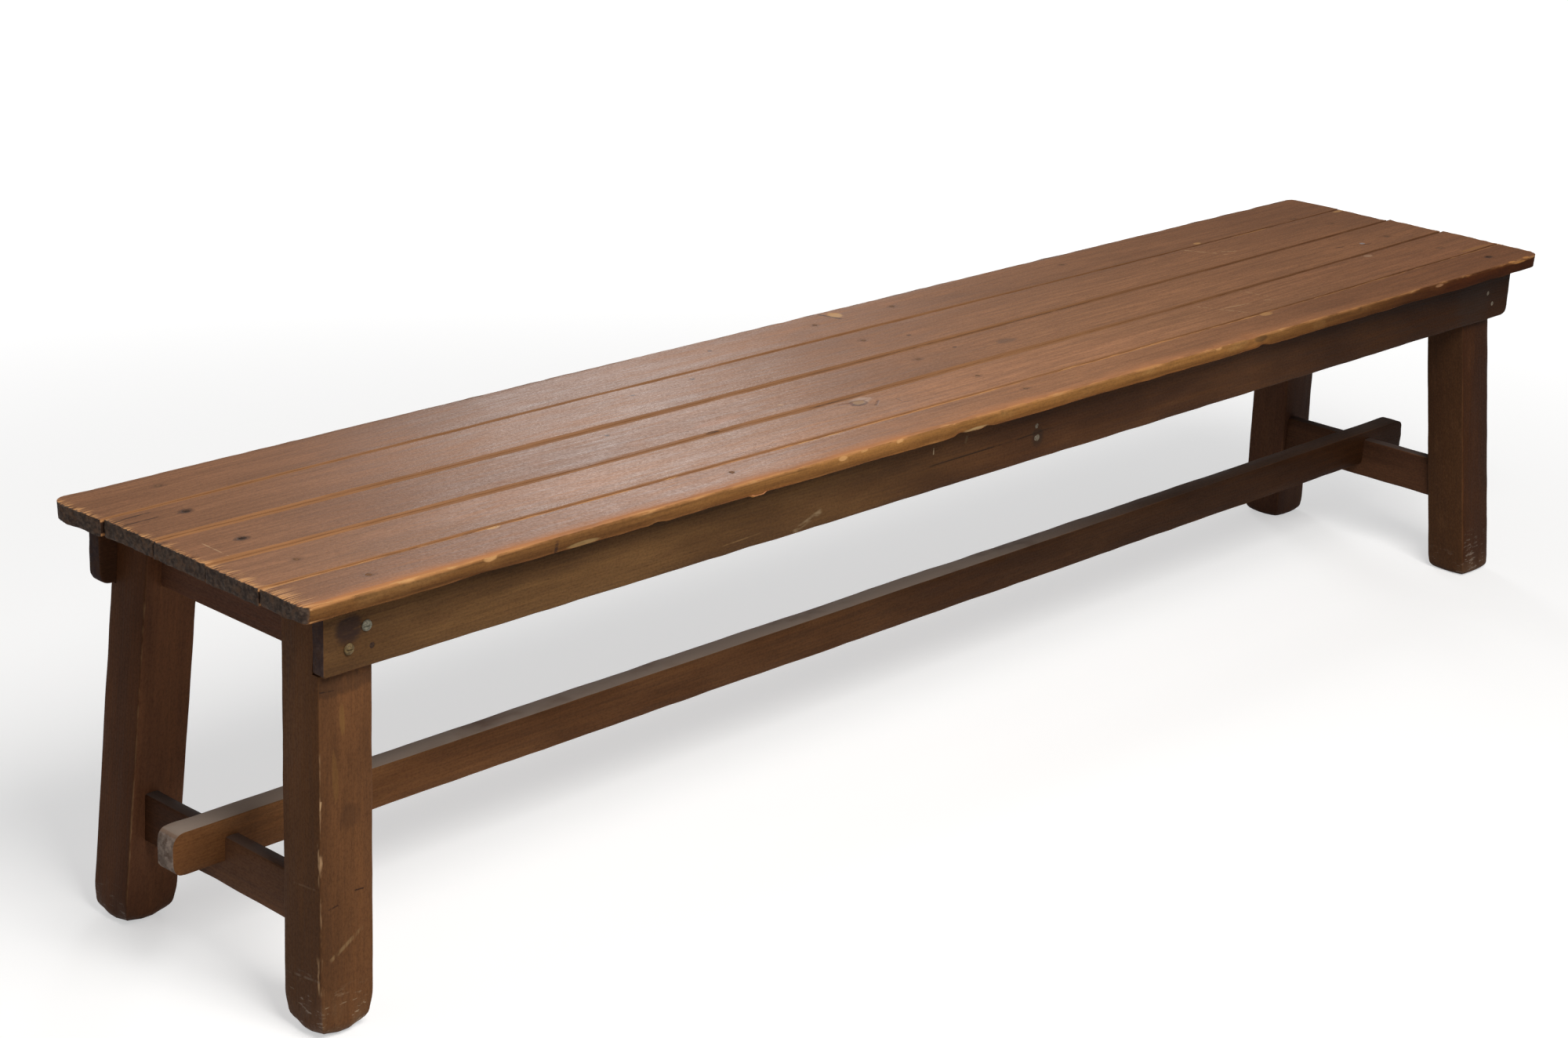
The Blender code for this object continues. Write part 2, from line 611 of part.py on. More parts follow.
def drive_seat_nails(fasteners):
    """Rows over the end rails and the middle rail, and a few into the aprons between them."""
    rail_x = {end: end_rail_left_x(end) + END_RAIL_THICKNESS / 2 for end in END_SIGN}
    rail_ends = {
        end: (leg_inner_y("front", end, frame_top), leg_inner_y("back", end, frame_top)) for end in END_SIGN
    }
    apron_inner = frame_half - APRON_THICKNESS
    rows = {
        "left": (rail_x["left"], END_RAIL_THICKNESS, rail_ends["left"], LEFT_ROW_SHARES),
        "middle": (MIDDLE_RAIL_X, MIDDLE_RAIL_THICKNESS, (-apron_inner, apron_inner), MIDDLE_ROW_SHARES),
        "right": (rail_x["right"], END_RAIL_THICKNESS, rail_ends["right"], RIGHT_ROW_SHARES),
    }
    for row, (rail, thickness, ends, shares) in rows.items():
        below = "middle_rail" if row == "middle" else f"{row}_end_rail"
        for board, (along, across) in shares.items():
            place = over(board, rail + along * thickness, *ends, across)
            through = [f"seat_board_{board}", below]
            fasteners.nail_down(f"seat_nail_{row}_{board}", place, SEAT_HEIGHT, through)

    apron_y = frame_half - APRON_THICKNESS / 2
    middle_x = MIDDLE_RAIL_X + MIDDLE_EDGE_NAIL_SHARE * MIDDLE_RAIL_THICKNESS
    right_x = leg_outer_x("right", frame_top) - FRONT_RIGHT_NAIL_SHARE * LEG_WIDTH
    into_aprons = {
        "left": rail_x["left"] + EDGE_NAIL_SHIFT,
        "middle": middle_x,
        "right": right_x,
    }
    for row, x in into_aprons.items():
        through = ["seat_board_5", "front_apron"]
        fasteners.nail_down(f"seat_nail_{row}_5", (x, -apron_y), SEAT_HEIGHT, through)
        if row != "right":
            through = ["seat_board_1", "back_apron"]
            fasteners.nail_down(f"seat_nail_{row}_1", (x, apron_y), SEAT_HEIGHT, through)
    along, across = BACK_RIGHT_NAIL_SHARES
    leg_x = leg_outer_x("right", frame_top) - along * LEG_WIDTH
    place = over(1, leg_x, rail_ends["right"][1], apron_inner, across)
    fasteners.nail_down("seat_nail_right_1", place, SEAT_HEIGHT, ["seat_board_1", "leg_back_right"])
    for name, share, board, side in (
        ("seat_nail_front_quarter", FRONT_QUARTER_NAIL_SHARE, 5, "front"),
        ("seat_nail_back_quarter", BACK_QUARTER_NAIL_SHARE, 1, "back"),
        ("seat_nail_back_near_middle", BACK_NEAR_NAIL_SHARE, 1, "back"),
    ):
        place = (share * spread_half, SIDE_SIGN[side] * apron_y)
        fasteners.nail_down(name, place, SEAT_HEIGHT, [f"seat_board_{board}", f"{side}_apron"])


def drive_apron_fasteners(fasteners):
    """Screws at the left legs, nails at the right legs and at the middle rail."""
    middle_x = MIDDLE_RAIL_X + MIDDLE_APRON_NAIL_SHARE * MIDDLE_RAIL_THICKNESS

    def place(end, shares):
        inward, down = shares
        return END_SIGN[end] * (spread_half - inward * LEG_WIDTH), seat_underside - down * APRON_HEIGHT

    for side in SIDE_SIGN:
        board = f"{side}_apron"
        for number, shares in LEFT_SCREW_SHARES.items():
            name = f"apron_screw_{side}_left_{number}"
            fasteners.screw_in(name, side, *place("left", shares), [board, f"leg_{side}_left"])
        for number, shares in RIGHT_NAIL_SHARES.items():
            name = f"apron_nail_{side}_right_{number}"
            fasteners.nail_in(name, side, *place("right", shares), [board, f"leg_{side}_right"])
        for number, down in MIDDLE_NAIL_DOWN_SHARES.items():
            name = f"apron_nail_{side}_middle_{number}"
            z = seat_underside - down * APRON_HEIGHT
            fasteners.nail_in(name, side, middle_x, z, [board, "middle_rail"])
    through = ["front_apron", "leg_front_left"]
    fasteners.nail_in("apron_nail_front_left", "front", *place("left", LEFT_NAIL_SHARES), through)


def drive_lap_nails(fasteners):
    for end in END_SIGN:
        place = (cross_left_x(end) + CROSS_THICKNESS / 2, 0)
        through = ["long_stretcher", f"{end}_cross_stretcher"]
        fasteners.nail_down(f"lap_nail_{end}", place, long_top, through)


def build():
    clear_scene()
    bench = bpy.data.objects.new("bench", None)
    bpy.context.scene.collection.objects.link(bench)
    seat_wood = {n: material(f"seat_board_{n}_wood", (133, 97, 72), 0.55) for n in BOARD_WIDTHS}
    frame_wood = {
        name: material(f"{name}_wood", colour, 0.6)
        for name, colour in (
            ("front_apron", (78, 57, 38)),
            ("back_apron", (74, 52, 36)),
            ("left_end_rail", (62, 42, 32)),
            ("right_end_rail", (62, 42, 32)),
            ("middle_rail", (92, 68, 46)),
            ("leg_front_left", (100, 68, 42)),
            ("leg_back_left", (64, 42, 30)),
            ("leg_front_right", (66, 45, 30)),
            ("leg_back_right", (62, 42, 30)),
            ("left_cross_stretcher", (72, 52, 40)),
            ("right_cross_stretcher", (68, 50, 40)),
            ("long_stretcher", (86, 56, 36)),
        )
    }
    nail_finish = material("nail_steel", (70, 60, 52), 0.5, 0.9)
    screw_finish = material("screw_zinc", (150, 146, 132), 0.42, 0.8)

    pieces = {}
    for board in BOARD_WIDTHS:
        pieces[f"seat_board_{board}"] = seat_board(board, seat_wood[board], bench)
    pieces["front_apron"] = apron(
        "front", FRONT_APRON_PAST_LEFT, FRONT_APRON_PAST_RIGHT, APRON_FLUSH_CORNER_RADIUS,
        APRON_CORNER_RADIUS, frame_wood["front_apron"], bench,
    )
    pieces["back_apron"] = apron(
        "back", BACK_APRON_PAST_LEFT, BACK_APRON_PAST_RIGHT, APRON_CORNER_RADIUS,
        APRON_CORNER_RADIUS, frame_wood["back_apron"], bench,
    )
    for side, end in LEAN_ACROSS:
        name = f"leg_{side}_{end}"
        pieces[name] = leg(side, end, frame_wood[name], bench)
    crosses = {}
    for end in END_SIGN:
        posts = [pieces[f"leg_{side}_{end}"] for side in SIDE_SIGN]
        name = f"{end}_end_rail"
        pieces[name] = tenoned_bar(
            name, end, end_rail_left_x(end), END_RAIL_THICKNESS, end_rail_bottom, END_RAIL_HEIGHT,
            RAIL_ARRIS, (RAIL_TENON_THICKNESS, RAIL_TENON_HEIGHT), frame_wood[name], bench, posts,
        )
        name = f"{end}_cross_stretcher"
        pieces[name] = tenoned_bar(
            name, end, cross_left_x(end), CROSS_THICKNESS, cross_bottom[end], CROSS_HEIGHT,
            CROSS_ARRIS, (CROSS_TENON_THICKNESS, CROSS_TENON_HEIGHT), frame_wood[name], bench, posts,
        )
        crosses[end] = pieces[name]
    pieces["middle_rail"] = middle_rail(frame_wood["middle_rail"], bench)
    pieces["long_stretcher"] = long_stretcher(crosses, frame_wood["long_stretcher"], bench)

    fasteners = Fasteners(pieces, nail_finish, screw_finish, bench)
    drive_seat_nails(fasteners)
    drive_apron_fasteners(fasteners)
    drive_lap_nails(fasteners)


build()
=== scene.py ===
import math

import bmesh
import bpy
from mathutils import Euler, Matrix, Vector


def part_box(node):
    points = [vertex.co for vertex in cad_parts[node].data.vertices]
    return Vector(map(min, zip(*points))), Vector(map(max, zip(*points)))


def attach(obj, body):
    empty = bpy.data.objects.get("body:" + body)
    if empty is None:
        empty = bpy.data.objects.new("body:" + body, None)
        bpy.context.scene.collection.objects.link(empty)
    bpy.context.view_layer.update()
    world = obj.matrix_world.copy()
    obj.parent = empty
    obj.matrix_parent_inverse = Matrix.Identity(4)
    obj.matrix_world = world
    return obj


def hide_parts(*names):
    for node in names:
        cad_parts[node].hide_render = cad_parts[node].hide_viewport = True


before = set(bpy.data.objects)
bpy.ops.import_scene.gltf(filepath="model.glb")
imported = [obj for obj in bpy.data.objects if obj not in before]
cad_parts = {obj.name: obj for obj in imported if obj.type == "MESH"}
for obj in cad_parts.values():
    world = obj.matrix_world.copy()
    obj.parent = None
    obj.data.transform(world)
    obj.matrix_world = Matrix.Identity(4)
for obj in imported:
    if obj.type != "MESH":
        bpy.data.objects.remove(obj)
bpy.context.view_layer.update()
scene = bpy.context.scene
print("frame loaded:", len(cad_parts), "nodes")


# helpers for modelling

def choose(*things):
    for thing in bpy.context.selected_objects:
        thing.select_set(False)
    for thing in things:
        thing.select_set(True)
    bpy.context.view_layer.objects.active = things[0]


def blank(name, low, high):
    # a squared block of wood between two corners
    low, high = Vector(low), Vector(high)
    bpy.ops.mesh.primitive_cube_add(size=1, location=(low + high) / 2, scale=high - low)
    piece = bpy.context.object
    piece.name = piece.data.name = name
    bpy.ops.object.transform_apply()
    return piece


def openMesh(piece):
    choose(piece)
    bpy.ops.object.mode_set(mode="EDIT")


def closeMesh():
    bpy.ops.object.mode_set(mode="OBJECT")


def pick(kind, test):
    # selects the corners, edges or faces that pass a test on their place
    bpy.ops.mesh.select_mode(type=kind)
    bpy.ops.mesh.select_all(action="DESELECT")
    mesh = bmesh.from_edit_mesh(bpy.context.edit_object.data)
    things = {"VERT": mesh.verts, "EDGE": mesh.edges, "FACE": mesh.faces}[kind]
    found = [thing for thing in things if test(thing)]
    for thing in found:
        thing.select_set(True)
    mesh.select_flush_mode()
    bmesh.update_edit_mesh(bpy.context.edit_object.data, loop_triangles=False)
    return len(found)


def middleOf(edge):
    return (edge.verts[0].co + edge.verts[1].co) / 2


def runsAlong(edge, axis, least=0, tilt=0.97):
    span = edge.verts[1].co - edge.verts[0].co
    return span.length > least and abs(span[axis]) > tilt * span.length


def sharp(edge, least=0.9):
    return len(edge.link_faces) == 2 and edge.calc_face_angle() > least


def slide(kind, test, move):
    if pick(kind, test):
        bpy.ops.transform.translate(value=move)


def roundOff(test, radius, steps):
    if pick("EDGE", test):
        bpy.ops.mesh.bevel(offset=radius, segments=steps, clamp_overlap=True)


def sliceAt(axis, places, tilt=0, within=None):
    # saw lines square to an axis, all round the block or round a part of it
    normal = [0, 0, 0]
    normal[axis] = 1
    if axis == 1:
        normal[0] = tilt
    for place in places:
        point = [0, 0, 0]
        point[axis] = place
        if within:
            pick("FACE", within)
        else:
            bpy.ops.mesh.select_all(action="SELECT")
        bpy.ops.mesh.bisect(plane_co=point, plane_no=normal)


def divideLong(axis, least, cuts):
    if pick("EDGE", lambda e: runsAlong(e, axis, least)):
        bpy.ops.mesh.subdivide(number_cuts=cuts)


def nudge(spot, move, reach):
    # pushes the surface round one point, as a knock does
    spot = Vector(spot)
    mesh = bmesh.from_edit_mesh(bpy.context.edit_object.data)
    index = min(mesh.verts, key=lambda v: (v.co - spot).length_squared).index
    if pick("VERT", lambda v: v.index == index):
        bpy.ops.transform.translate(value=move, use_proportional_edit=True, proportional_size=reach)


def modifierOn(piece, kind, settings):
    choose(piece)
    modifier = piece.modifiers.new(kind.title(), kind)
    for key, value in settings.items():
        setattr(modifier, key, value)
    bpy.ops.object.modifier_apply(modifier=modifier.name)


def gather(piece, name, weigh):
    # a vertex group that says how much each corner of the mesh is worn
    group = piece.vertex_groups.new(name=name)
    for vert in piece.data.vertices:
        weight = weigh(vert.co)
        if weight > 0.01:
            group.add([vert.index], min(1, weight), "REPLACE")
    return name


def joinSlivers():
    # saw lines that fall close together become one
    bpy.ops.mesh.select_mode(type="VERT")
    bpy.ops.mesh.select_all(action="SELECT")
    bpy.ops.mesh.remove_doubles(threshold=0.0005)
    bpy.ops.mesh.normals_make_consistent()


def erode(piece, group, size, depth, stretch, seed, detail=2, way="NORMAL"):
    # wears the surface inwards by a cloudy pattern, stretched along the grain
    pattern = bpy.data.textures.new(piece.name + " wear", "CLOUDS")
    pattern.noise_scale = size
    pattern.noise_depth = detail
    pattern.contrast = 1.6
    guide = bpy.data.objects.new("guide", None)
    scene.collection.objects.link(guide)
    guide.location = (seed * 3.17, seed * 1.71, seed * 0.93)
    guide.scale = stretch
    bpy.context.view_layer.update()
    modifierOn(piece, "DISPLACE", {
        "texture": pattern, "texture_coords": "OBJECT", "texture_coords_object": guide,
        "strength": depth, "mid_level": 1, "vertex_group": group, "direction": way})
    bpy.data.objects.remove(guide)


def carve(piece, cutter):
    modifierOn(piece, "BOOLEAN", {"operation": "DIFFERENCE", "solver": "EXACT", "object": cutter})
    bpy.data.objects.remove(cutter)


nailPit = dict(narrow=0.003, wide=0.0042, deep=0.0022, lift=0.0008)


def nailPits(piece, nails, axis):
    # the punched-in dents that the sunk heads sit in
    cutters = []
    for nail in nails:
        low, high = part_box(nail)
        middle = (low + high) / 2
        outward = 1 if axis == 2 or middle.y > 0 else -1
        middle[axis] = (high if outward > 0 else low)[axis] + outward * nailPit["lift"]
        turn = (0, 0, 0) if axis == 2 else (-outward * math.pi / 2, 0, 0)
        bpy.ops.mesh.primitive_cone_add(vertices=14, radius1=nailPit["narrow"], radius2=nailPit["wide"],
                                        depth=nailPit["deep"], location=middle, rotation=turn)
        cutters.append(bpy.context.object)
    if not cutters:
        return
    choose(*cutters)
    if len(cutters) > 1:
        bpy.ops.object.join()
    carve(piece, bpy.context.object)


def finishShape(piece, angle=38):
    openMesh(piece)
    bpy.ops.mesh.select_all(action="SELECT")
    bpy.ops.mesh.normals_make_consistent()
    closeMesh()
    bpy.ops.object.shade_smooth_by_angle(angle=math.radians(angle))


def dress(thing, material):
    thing.data.materials.clear()
    thing.data.materials.append(material)


def place(piece, node):
    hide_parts(node)
    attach(piece, "root")
    node + "_wood"


# helpers for finishes

def bothWays(operation):
    # an operator and its reflected form
    return (lambda self, other: self.finish.maths(operation, self, other),
            lambda self, other: self.finish.maths(operation, other, self))


class Socket:
    # one output of a node; sums written with it add Math nodes
    def __init__(self, finish, output):
        self.finish = finish
        self.output = output

    __add__, __radd__ = bothWays("ADD")
    __sub__, __rsub__ = bothWays("SUBTRACT")
    __mul__, __rmul__ = bothWays("MULTIPLY")
    __truediv__, __rtruediv__ = bothWays("DIVIDE")

    def __abs__(self):
        return self.finish.maths("ABSOLUTE", self)


def linear(colour):
    # a colour as a picture shows it, 0 to 255, as the value a shader takes
    made = []
    for channel in colour:
        share = channel / 255
        made.append(share / 12.92 if share <= 0.04045 else ((share + 0.055) / 1.055) ** 2.4)
    return (*made, 1)


class Finish:
    def __init__(self, name):
        self.material = bpy.data.materials.new(name)
        self.material.use_nodes = True
        self.tree = self.material.node_tree
        self.shader = self.tree.nodes["Principled BSDF"]
        spot = self.tree.nodes.new("ShaderNodeTexCoord")
        self.spot = Socket(self, spot.outputs["Object"])
        self.facing = Socket(self, spot.outputs["Normal"])

    def put(self, socket, value):
        # a link from another node, or a plain value
        if isinstance(value, Socket):
            self.tree.links.new(value.output, socket)
        else:
            socket.default_value = value

    def feed(self, name, value):
        self.put(self.shader.inputs[name], value)

    def node(self, kind, settings, sockets, output=0):
        made = self.tree.nodes.new(kind)
        for key, value in settings.items():
            setattr(made, key, value)
        for key, value in sockets.items():
            self.put(made.inputs[key], value)
        return Socket(self, made.outputs[output])

    def split(self, vector):
        made = self.node("ShaderNodeSeparateXYZ", {}, {0: vector}).output.node
        return [Socket(self, output) for output in made.outputs]

    def maths(self, operation, first, second=0):
        return self.node("ShaderNodeMath", {"operation": operation}, {0: first, 1: second})

    def ramp(self, value, low, high, start=0, end=1):
        # smooth step from one level to another
        return self.node("ShaderNodeMapRange", {"interpolation_type": "SMOOTHSTEP"},
                         {0: value, 1: low, 2: high, 3: start, 4: end})

    def between(self, value, start, end, fade):
        # one inside a stretch, nothing outside it
        return self.ramp(value, start, start + fade) * self.ramp(value, end, end - fade)

    def noise(self, vector, scale, detail=2, roughness=0.5):
        return self.node("ShaderNodeTexNoise", {}, {
            "Vector": vector, "Scale": scale, "Detail": detail, "Roughness": roughness})

    def colour(self, share, first, second, blend="MIX"):
        # by index: 0 the share, 6 and 7 the two colours, and output 2 the mixed one
        ends = [linear(c) if isinstance(c, tuple) else c for c in (first, second)]
        return self.node("ShaderNodeMix", {"data_type": "RGBA", "blend_type": blend},
                         {0: share, 6: ends[0], 7: ends[1]}, output=2)

    def layered(self, tone, *coats):
        # coats laid over a first tone, each with its share, tone and maybe blend
        for share, coat, *blend in coats:
            tone = self.colour(share, tone, coat, *blend)
        return tone


class Timber(Finish):
    # stained softwood: rings and fibres run right through the piece
    def __init__(self, name, shape, look):
        super().__init__(name)
        self.look = look
        self.place = self.split(self.spot)
        self.normal = self.split(self.facing)
        self.along = shape["along"]
        self.run = self.place[self.along]
        first, second = [self.place[i] for i in range(3) if i != self.along]
        self.first = first - (self.run * shape["leanFirst"] + shape["middleFirst"])
        self.second = second - (self.run * shape["leanSecond"] + shape["middleSecond"])
        wide = self.run * shape.get("taper", 0) + shape["halfFirst"]
        if "bows" in shape:
            rear, front = shape["bows"]
            self.first = self.first - bowAt([(r + f) / 2 for r, f in zip(rear, front)], self.run)
            wide = wide + bowAt([(r - f) / 2 for r, f in zip(rear, front)], self.run)
        self.edgeFirst = wide - abs(self.first)
        self.edgeSecond = shape["halfSecond"] - abs(self.second)
        self.fromStart = self.run - shape["start"]
        self.fromEnd = shape["end"] - self.run
        self.edgeRun = self.maths("MINIMUM", self.fromStart, self.fromEnd)
        # on the surface one of the three is near zero, the middle one is the way to an arris
        a, b, c = self.edgeFirst, self.edgeSecond, self.edgeRun
        nearer, further = self.maths("MINIMUM", a, b), self.maths("MAXIMUM", a, b)
        self.arris = self.maths("MAXIMUM", nearer, self.maths("MINIMUM", further, c))
        seed = look["seed"]
        self.grain = self.node("ShaderNodeCombineXYZ", {}, {
            0: self.run + seed * 1.37, 1: self.first + seed * 0.61, 2: self.second - seed * 0.29})
        self.jag = self.fibres(26, 120, 3, 0.62)
        turned = abs(self.normal[self.along]) + (self.jag - 0.5) * 0.4
        self.endFace = self.ramp(turned, *look["endTurn"]) * self.ramp(self.edgeRun, 0.012, 0.005)
        if "endRagged" in look:
            # the dark of the end grain reaches unevenly over the arris
            across = self.fibres(0, 210, 3, 0.7)
            for gap, reach in zip((self.fromStart, self.fromEnd), look["endRagged"]):
                over = self.ramp(gap - (across - 0.36) * reach, 0.0009, -0.0009)
                self.endFace = self.maths("MAXIMUM", self.endFace, over)

    def fibres(self, along, across, detail=2, roughness=0.5):
        # noise with its own scale along the grain and across it
        stretched = self.node("ShaderNodeMapping", {}, {
            "Vector": self.grain, "Scale": (along, across, across)})
        return self.noise(stretched, 1, detail, roughness)

    def blotch(self, scale, stretch=4):
        return self.fibres(scale, scale * stretch, 3, 0.55)

    def figure(self):
        # growth rings round a wandering pith line below the face
        look = self.look
        wander, drift = self.fibres(1.6, 5), self.fibres(2.3, 3, 1)
        across = self.first + look["pithAcross"] + (wander - 0.5) * look["wander"]
        down = self.second + look["pithDown"] + (drift - 0.5) * look["wander"]
        rings = self.maths("FRACT", self.maths("SQRT", across * across + down * down) / look["ring"])
        return self.ramp(rings, 0.45, 0.92) * self.ramp(rings, 1, 0.93)

    def oval(self, other, along, across, halfAlong, halfAcross):
        # a soft-edged patch at a place along the piece and across it
        u = (self.run - along) / halfAlong
        v = (other - across) / halfAcross
        return self.ramp(u * u + v * v + (self.jag - 0.5) * 1.6, 1, 0.3)

    def stroke(self, other, along, across, endAlong, endAcross, width):
        # a thin scratch between two places on the piece
        du, dv = endAlong - along, endAcross - across
        long = math.hypot(du, dv)
        u, v = self.run - along, other - across
        forward = (u * du + v * dv) / long
        aside = abs((u * dv - v * du) / long)
        return self.ramp(aside, width, width * 0.3) * self.between(forward, 0, long, long * 0.12)

    def lay(self, *coats):
        self.tone = self.layered(self.tone, *coats)


# which way each named face looks: the axis of its normal, and its sign
faces = {"top": (2, 1), "front": (1, -1), "left": (0, -1)}


def inMetres(marks, kind):
    # the marks of one kind on a face: their measures, tones and shares
    return [([m / 1000 for m in measures], tone, share) for *measures, tone, share in marks.get(kind, [])]


def paintTimber(name, shape, look):
    # the whole finish of one piece, from the values in its dictionary
    t = Timber(name, shape, look)
    ramp = t.ramp
    late = t.figure()
    fine = t.fibres(22, 620, 3, 0.65)
    coarse = t.fibres(7, 190, 4, 0.66)
    ticks = t.fibres(90, 800, 1)
    grit = t.fibres(300, 480, 2, 0.7)
    broad = t.blotch(look["broad"])
    patch = t.blotch(look["patchSize"], 3)
    slow = t.fibres(5, 20)
    jag = t.jag
    sides = 1 - t.endFace
    # far rises towards the right end; with it the seam bands and worn arrises darken and the ridge and rim
    # fade, partly painted shade where less light falls
    far = ramp(t.run, 0, 0.95)

    t.tone = look["dark"]
    t.lay((ramp(broad, 0.32, 0.68), look["light"]), (late * look["ringShare"], look["lateWood"]),
          (ramp(coarse, 0.62, 0.38) * look["fibreShare"], look["fibre"]),
          (ramp(fine, 0.6, 0.3) * look["fibreShare"] * 0.8, look["fibre"]),
          (ramp(ticks, 0.66, 0.76) * look["tickShare"], look["tick"]),
          (ramp(patch, 0.56, 0.78) * look["patchShare"], look["patch"]),
          (ramp(grit, 0.4, 0.7) * look["gritShare"], look["tick"]),
          (ramp(grit, 0.46, 0.26) * look["gritShare"] * 0.8, look["patch"]))
    # darkening along the piece, partly its stain's own tone and partly painted shade where less light falls
    for start, end, share, tone in look.get("toneShadeFades", []):
        t.lay((ramp(t.run, start, end) * share, tone, "MULTIPLY"))
    height = late * look["ringRelief"] + coarse * 0.5 + fine * 0.4 + grit * 0.35
    rough = look["rough"] + (coarse - 0.5) * 0.24 + (fine - 0.5) * 0.16
    rough = rough + (patch - 0.5) * 0.12 + (grit - 0.5) * 0.25
    if "matte" in look:
        rough = rough + ramp(t.run, *look["matte"])

    # the bands along the seams, where the stain has gone from the arrises
    if "band" in look:
        front, rear = look["band"]
        reach = ramp(t.first, -0.002, 0.002, front, rear) * (slow * 0.6 + jag * 0.4 + 0.5)
        reach = reach * (1 - far * 0.55)
        band = ramp(t.edgeFirst - reach, 0.0009, -0.0009) * sides * ramp(slow, 0.18, 0.42)
        # towards the right end the band takes a darker tone, partly painted shade
        bandTone = t.layered(look["bandTone"], (far, look["bandFarShaded"]),
                             (ramp(t.run, -0.65, -1) * 0.6, look["bandNear"]),
                             (ramp(coarse, 0.4, 0.65) * 0.3, look["tick"]))
        t.lay((band * look["bandShare"], bandTone))
        rough = rough + band * 0.3
        # painted shade: the planks' long sides below their arrises, mostly down in the seams, are laid dark
        deep = ramp(t.edgeSecond, 0.0026, 0.0044) * ramp(t.edgeFirst, 0.003, 0.001)

    # painted shade: dark lines on the top where a seam stands open
    for start, end, width, share in look.get("openSeamShadeLines", []):
        within = t.between(t.run, start, end, 0.02) * sides * ramp(t.first, 0, 0.002) * ramp(jag, 0.28, 0.44)
        t.lay((ramp(t.edgeFirst, width, width * 0.5) * within * share, look["openSeamShadeTone"]))

    # worn arrises
    reach = (jag * 1.5 + slow * 1.3 - 0.9) * look["wearWidth"]
    lasting = sides * (1 - ramp(t.edgeRun, 0.012, 0.004) * look["plainEnds"])
    worn = ramp(t.arris - reach, 0.0012, -0.0012) * look["wearShare"] * lasting
    pale = ramp(t.arris - reach * 0.45, 0.0006, -0.0008) * ramp(jag, 0.5, 0.66) * look["paleShare"] * lasting
    # the worn tone darkens towards the right end, partly painted shade
    t.lay((worn, t.colour(far * look["wornFarShade"], look["wornTone"], look["bandFarShaded"])), (pale, look["paleTone"]))
    rough = rough + worn * 0.12
    height = height - worn * jag * 0.8
    if "band" in look:
        # the painted seam shade goes on over the wear
        t.lay((deep, look["gapShadeTone"]))

    # the seat's front edge, its ridge, and the rim of the top beside it
    if "lip" in look:
        lip = ramp(t.normal[1], -0.25, -0.75) * sides
        lipTone = t.layered(t.colour(ramp(coarse, 0.35, 0.65), *look["lip"]),
                            (ramp(patch, 0.52, 0.66) * 0.5, look["lipScuff"]),
                            (ramp(grit, 0.4, 0.7) * 0.25, look["tick"]),
                            # towards the right end the edge darkens, partly painted shade
                            (ramp(t.run, 0.3, 0.9), look["lipFarShade"], "MULTIPLY"),
                            (ramp(t.run, -0.35, -0.75), look["lipNear"], "MULTIPLY"),
                            # painted shade: the lower part of the edge darker
                            (ramp(t.place[2] + (jag - 0.5) * 0.006, 0.459, 0.447), look["lipUnderShade"],
                             "MULTIPLY"))
        ridge = ramp(t.edgeSecond, 0.0042, 0.0006) * ramp(t.edgeFirst, 0.0058, 0.001) * (1 - far * 0.6)
        ridge = ridge * ramp(t.place[1], 0, -0.05) * ramp(t.place[2], 0.452, 0.456)
        rim = ramp(t.edgeFirst, 0.026, 0.004) * ramp(t.first, 0, -0.01) * ramp(t.normal[2], 0.5, 0.9)
        rim = rim * ramp(jag * 0.5 + slow * 0.7, 0.4, 0.66) * (1 - far * 0.85)
        t.lay((lip * 0.85, lipTone), (rim * 0.6, look["rimTone"]),
              (ridge * ramp(jag * 0.6 + slow * 0.6, 0.51, 0.66), look["ridgeTone"]),
              (ridge * ramp(jag, 0.58, 0.66) * 0.8, look["paleTone"]))
        rough = rough + rim * 0.15 + lip * 0.15

    # frayed ends: bare streaks and dark splits that run in with the grain
    if "fray" in look:
        lanes = t.fibres(9, 420, 2, 0.7)
        reachIn = t.fibres(0, 75, 3, 0.7)
        splits = ramp(lanes, 0.44, 0.36)
        for gap, reach in zip((t.fromStart, t.fromEnd), look["fray"]):
            inside = ramp(gap / ((reachIn - 0.28) * reach), 1, 0.25) * sides * (1 - deep)
            t.lay((inside * ramp(lanes, 0.47, 0.57) * 0.95, look["frayTone"]),
                  (inside * splits * 0.75, look["splitTone"]))
            height = height - inside * splits * 1.5

    # arrises rubbed bare over a stretch of their length
    for start, end, width, share in look.get("rubs", []):
        within = t.between(t.run, start, end, 0.012) * sides * ramp(jag, 0.38, 0.52)
        within = within * ramp(t.first, 0, -0.01) * ramp(t.second, 0, -0.01)
        rubbed = ramp(t.arris - (jag * 1.6 - 0.3) * width, 0.0006, -0.0006) * within
        t.lay((rubbed * share, look["paleTone"]))

    # end grain
    mottle = t.fibres(40, look["endScale"], 4, 0.6)
    t.lay((t.endFace, t.layered(look["endDark"], (ramp(mottle, 0.36, 0.68), look["endLight"]),
                                (late * 0.3, look["endDark"]),
                                (ramp(jag, 0.48, 0.64) * 0.55, look["endBrown"]))))
    rough = rough + t.endFace * 0.25
